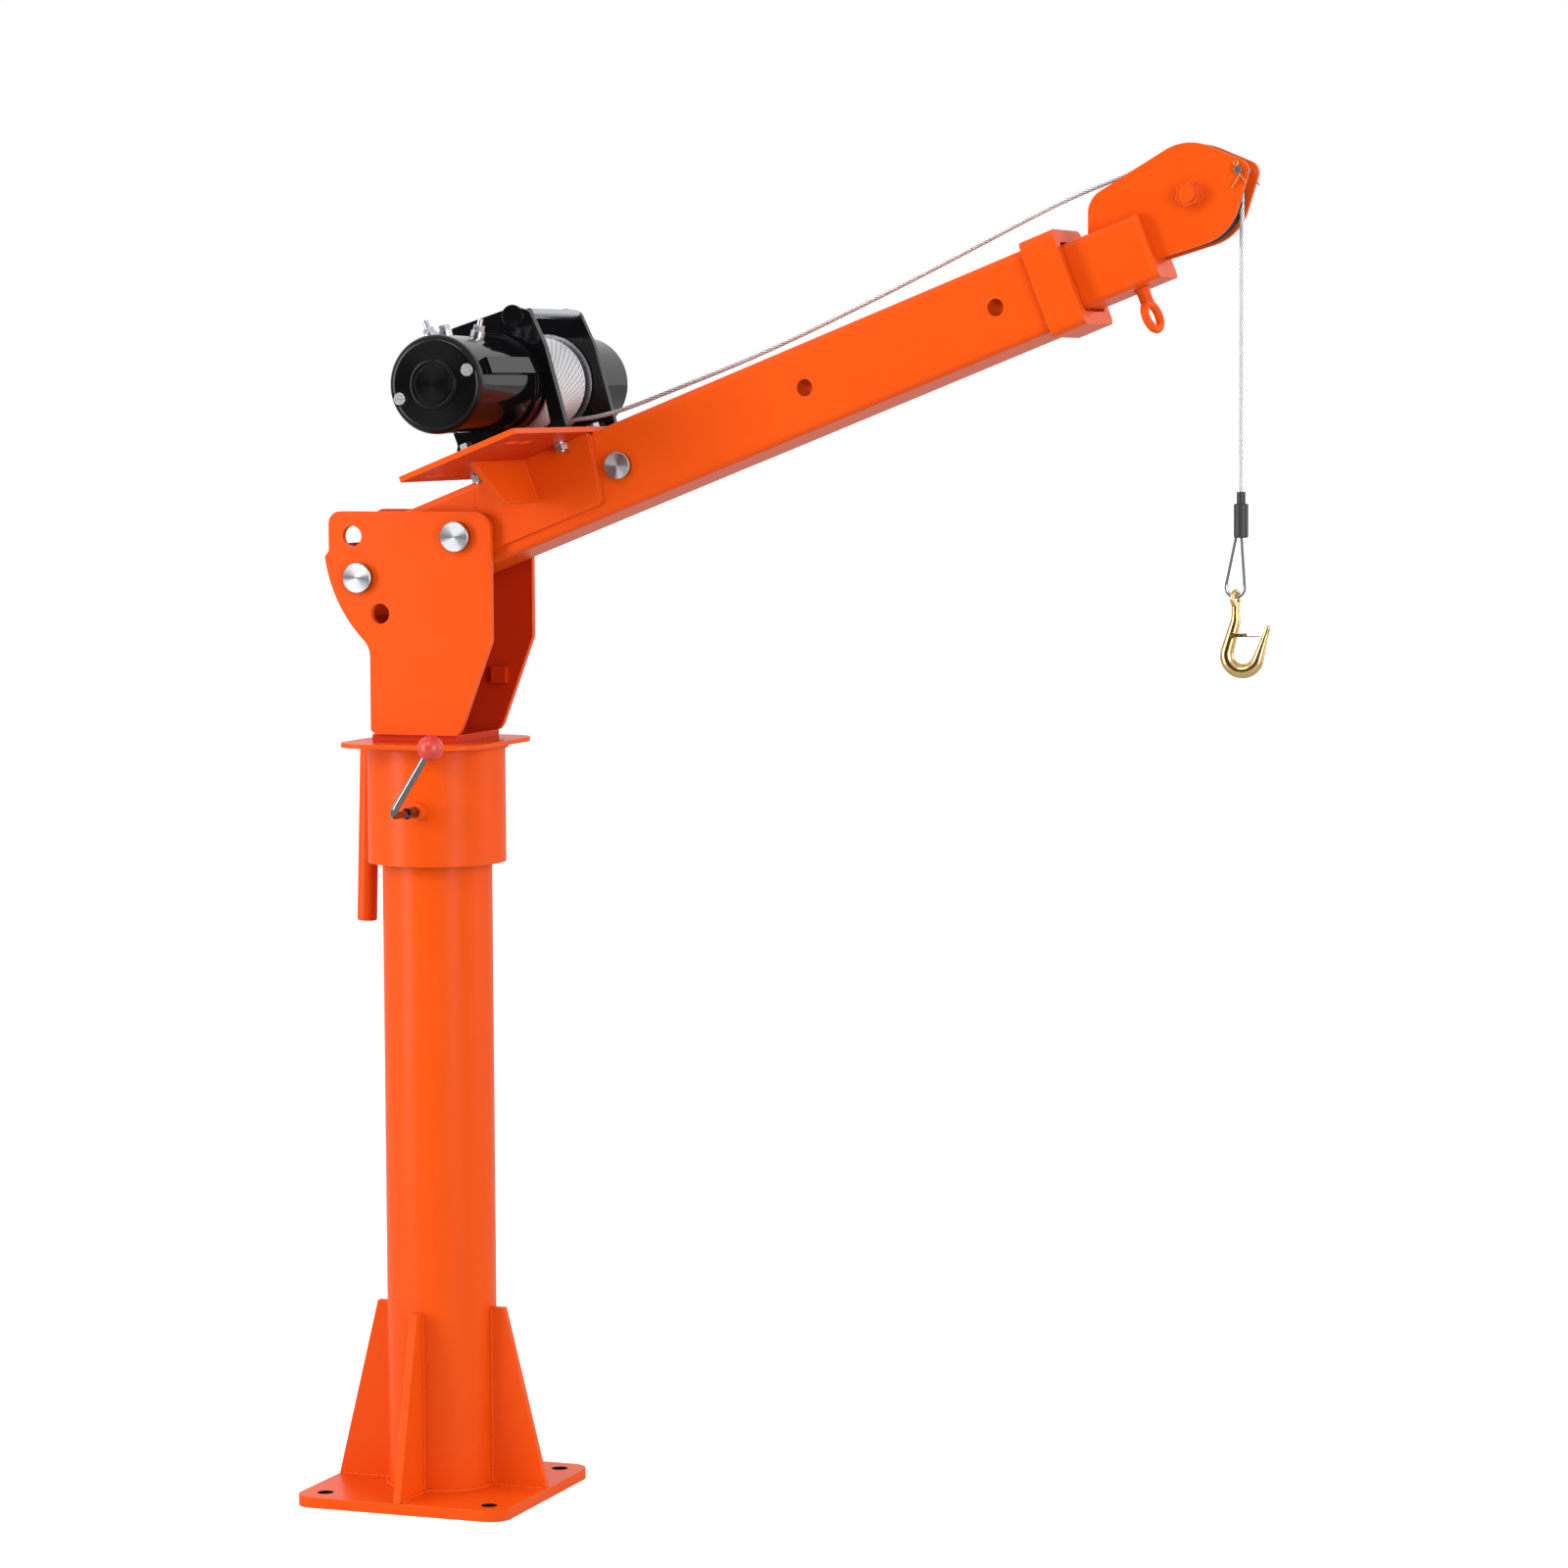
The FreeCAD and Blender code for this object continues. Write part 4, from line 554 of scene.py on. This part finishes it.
def rope_material():
    """Galvanised strands: lighter on their crowns and darker in the lay between them."""
    material, tree, shader = new_material("galvanised wire strands")
    place = add(tree, "ShaderNodeTexCoord").outputs["Object"]
    spread = add(tree, "ShaderNodeTexNoise", {"Vector": place, "Scale": 700.0, "Detail": 3.0})
    depth = add(tree, "ShaderNodeAttribute", attribute_name="crown")
    tone = add(tree, "ShaderNodeMix", {0: depth.outputs["Fac"], 6: linear("#5A5A5E"), 7: linear("#EDEEF1")},
               data_type="RGBA")
    rough = add(tree, "ShaderNodeMapRange", {"Value": spread.outputs["Fac"], "To Min": 0.28, "To Max": 0.46})
    bump = add(tree, "ShaderNodeBump", {"Strength": 0.15, "Distance": 0.0004,
                                        "Height": spread.outputs["Fac"]})
    tree.links.new(tone.outputs[2], shader.inputs["Base Color"])
    tree.links.new(rough.outputs["Result"], shader.inputs["Roughness"])
    tree.links.new(bump.outputs["Normal"], shader.inputs["Normal"])
    set_sockets(shader, Metallic=0.45)
    return material


strand_steel = rope_material()
STRANDS = 6
LAY = 0.036
ROPE_RADIUS = 0.0025
ROW_LENGTH = 0.0022


def centre_line(points, resolution):
    """Points along the smooth line that a rope takes through its route."""
    data = bpy.data.curves.new("route", "CURVE")
    data.dimensions = "3D"
    data.resolution_u = resolution
    spline = data.splines.new("NURBS")
    spline.points.add(len(points) - 1)
    for index, point in enumerate(points):
        spline.points[index].co = (*point, 1)
    spline.order_u = 3
    spline.use_endpoint_u = True
    line = bpy.data.objects.new("route", data)
    mesh = bpy.data.meshes.new_from_object(line)
    found = [vertex.co.copy() for vertex in mesh.vertices]
    bpy.data.objects.remove(line)
    bpy.data.curves.remove(data)
    bpy.data.meshes.remove(mesh)
    return found


def lay_rope(name, line, body, *nodes, start_turn=0.0):
    """Strands round a centre line, a lobed section that turns once a lay; returns the turn at its end."""
    walked = [0.0]
    for a, b in zip(line, line[1:]):
        walked.append(walked[-1] + (b - a).length)
    count = max(2, round(walked[-1] / ROW_LENGTH))
    rows = []
    place = 0
    for index in range(count + 1):
        along = walked[-1] * index / count
        while place < len(line) - 2 and walked[place + 1] < along:
            place += 1
        span = walked[place + 1] - walked[place]
        rows.append(line[place].lerp(line[place + 1], (along - walked[place]) / span if span else 0))
    per_strand = 4
    around = STRANDS * per_strand
    vertices = []
    crowns = []
    side = None
    for index, point in enumerate(rows):
        ahead = (rows[min(index + 1, count)] - rows[max(index - 1, 0)]).normalized()
        if side is None:
            side = ahead.orthogonal().normalized()
        side = (side - ahead * side.dot(ahead)).normalized()
        over = ahead.cross(side)
        twist = start_turn + 2 * math.pi * (walked[-1] * index / count) / LAY
        for step in range(around):
            turn = 2 * math.pi * step / around + twist
            reach = (0.60, 0.93, 1.0, 0.93)[step % per_strand]
            crowns.append((0.0, 0.75, 1.0, 0.75)[step % per_strand])
            vertices.append(point + (side * math.cos(turn) + over * math.sin(turn)) * ROPE_RADIUS * reach)
    faces = []
    for row in range(count):
        for step in range(around):
            after = (step + 1) % around
            faces.append((row * around + step, row * around + after,
                          (row + 1) * around + after, (row + 1) * around + step))
    faces.append(tuple(reversed(range(around))))
    faces.append(tuple(count * around + step for step in range(around)))
    mesh = bpy.data.meshes.new(name)
    mesh.from_pydata(vertices, [], faces)
    crown = mesh.attributes.new("crown", "FLOAT", "POINT")
    for index, value in enumerate(crowns):
        crown.data[index].value = value
    piece = bpy.data.objects.new(name, mesh)
    bpy.context.collection.objects.link(piece)
    smooth_piece(piece, strand_steel, body, "wire_rope", *nodes, angle=70)
    return start_turn + 2 * math.pi * walked[-1] / LAY


# Millimetres along, across and above the boom. The smooth line cuts the corners of its route, so
# the route round the drum is drawn a little wide of the winding.
drum_u, drum_v = 110, 132
sheave_u, sheave_v = 876, 37
sheave_rope_r = 48.6
winding_r = 48.0
pitch = 5.5
turns = 20
per_turn = 24
winding_end_y = 52.0
route_r = winding_r / math.cos(math.pi / per_turn) ** 1.33
coil = []
for index in range(turns * per_turn + 1):
    back = turns - index / per_turn
    angle = -2 * math.pi * back - math.pi / 2
    coil.append(on_boom(drum_u + route_r * math.cos(angle), winding_end_y - pitch * back,
                        drum_v + route_r * math.sin(angle)))
lay_rope("rope_on_drum", centre_line(coil, 6), "winch_drum", "rope_winding")
finish_nodes(strand_steel, "rope_core")



def on_sheave(degrees):
    """A point of the rope's middle in the sheave's groove, from the boom's direction upwards."""
    turn = math.radians(degrees)
    return on_boom(sheave_u + sheave_rope_r * math.cos(turn), 0, sheave_v + sheave_rope_r * math.sin(turn))


# The slack run leaves the drum's far end, sags over the boom and comes in to its middle.
run_route = [(115, 84), (128, 84), (152, 76.5), (190, 71.0), (262, 69.2), (335, 67.2), (408, 68.0),
             (481, 71.0), (554, 74.6), (627, 79.4), (695, 84.4), (752, 87.2)]
inwards = winding_end_y / (sheave_u - drum_u)
run_points = [on_boom(u, inwards * (sheave_u - u), v) for u, v in run_route] + [on_boom(812, 1.5, 85.0)]
enters_at, leaves_at = 91.0, -21.2
run_points.append(on_sheave(enters_at))
between = ("boom", "inner_boom", on_boom(200, 0, 71), on_boom(800, 0, 85))
turned = lay_rope("rope_over_boom", centre_line(run_points, 24), between, "rope_run")
wrap = [on_sheave(enters_at + (leaves_at - enters_at) * step / 24) for step in range(25)]
turned = lay_rope("rope_on_sheave", wrap, "inner_boom", "rope_wrap", start_turn=turned)
ferrule_z = 1.105
hanging = [Vector((wrap[-1].x, 0, wrap[-1].z)), Vector((wrap[-1].x, 0, ferrule_z))]
between = ("hanging_rope", "rope_end", hanging[0], hanging[1])
lay_rope("hanging_rope_lay", hanging, between, "load_line", start_turn=turned)


# Rope end: the rope is turned back round a thimble and held by a pressed ferrule, and a black
# sleeve is shrunk over the ferrule, so the cut wires don't catch.

shrink = moulded("black heat-shrink sleeve", "#1A1A1C", "#262629", 0.5)
finish_nodes(shrink, "rope_ferrule")
finish_nodes(strand_steel, "rope_loop")


# Hook: a swivel eye, a drop-forged hook and a latch pressed from sheet, all zinc plated and
# passivated yellow. The plating is bright, and it turns pale where it catches the light.

gold_zinc = metal("yellow passivated zinc", "#E0C690", "#C79F62", 0.2, 5.0)
finish_nodes(gold_zinc, "hook_eye", "hook", "latch")
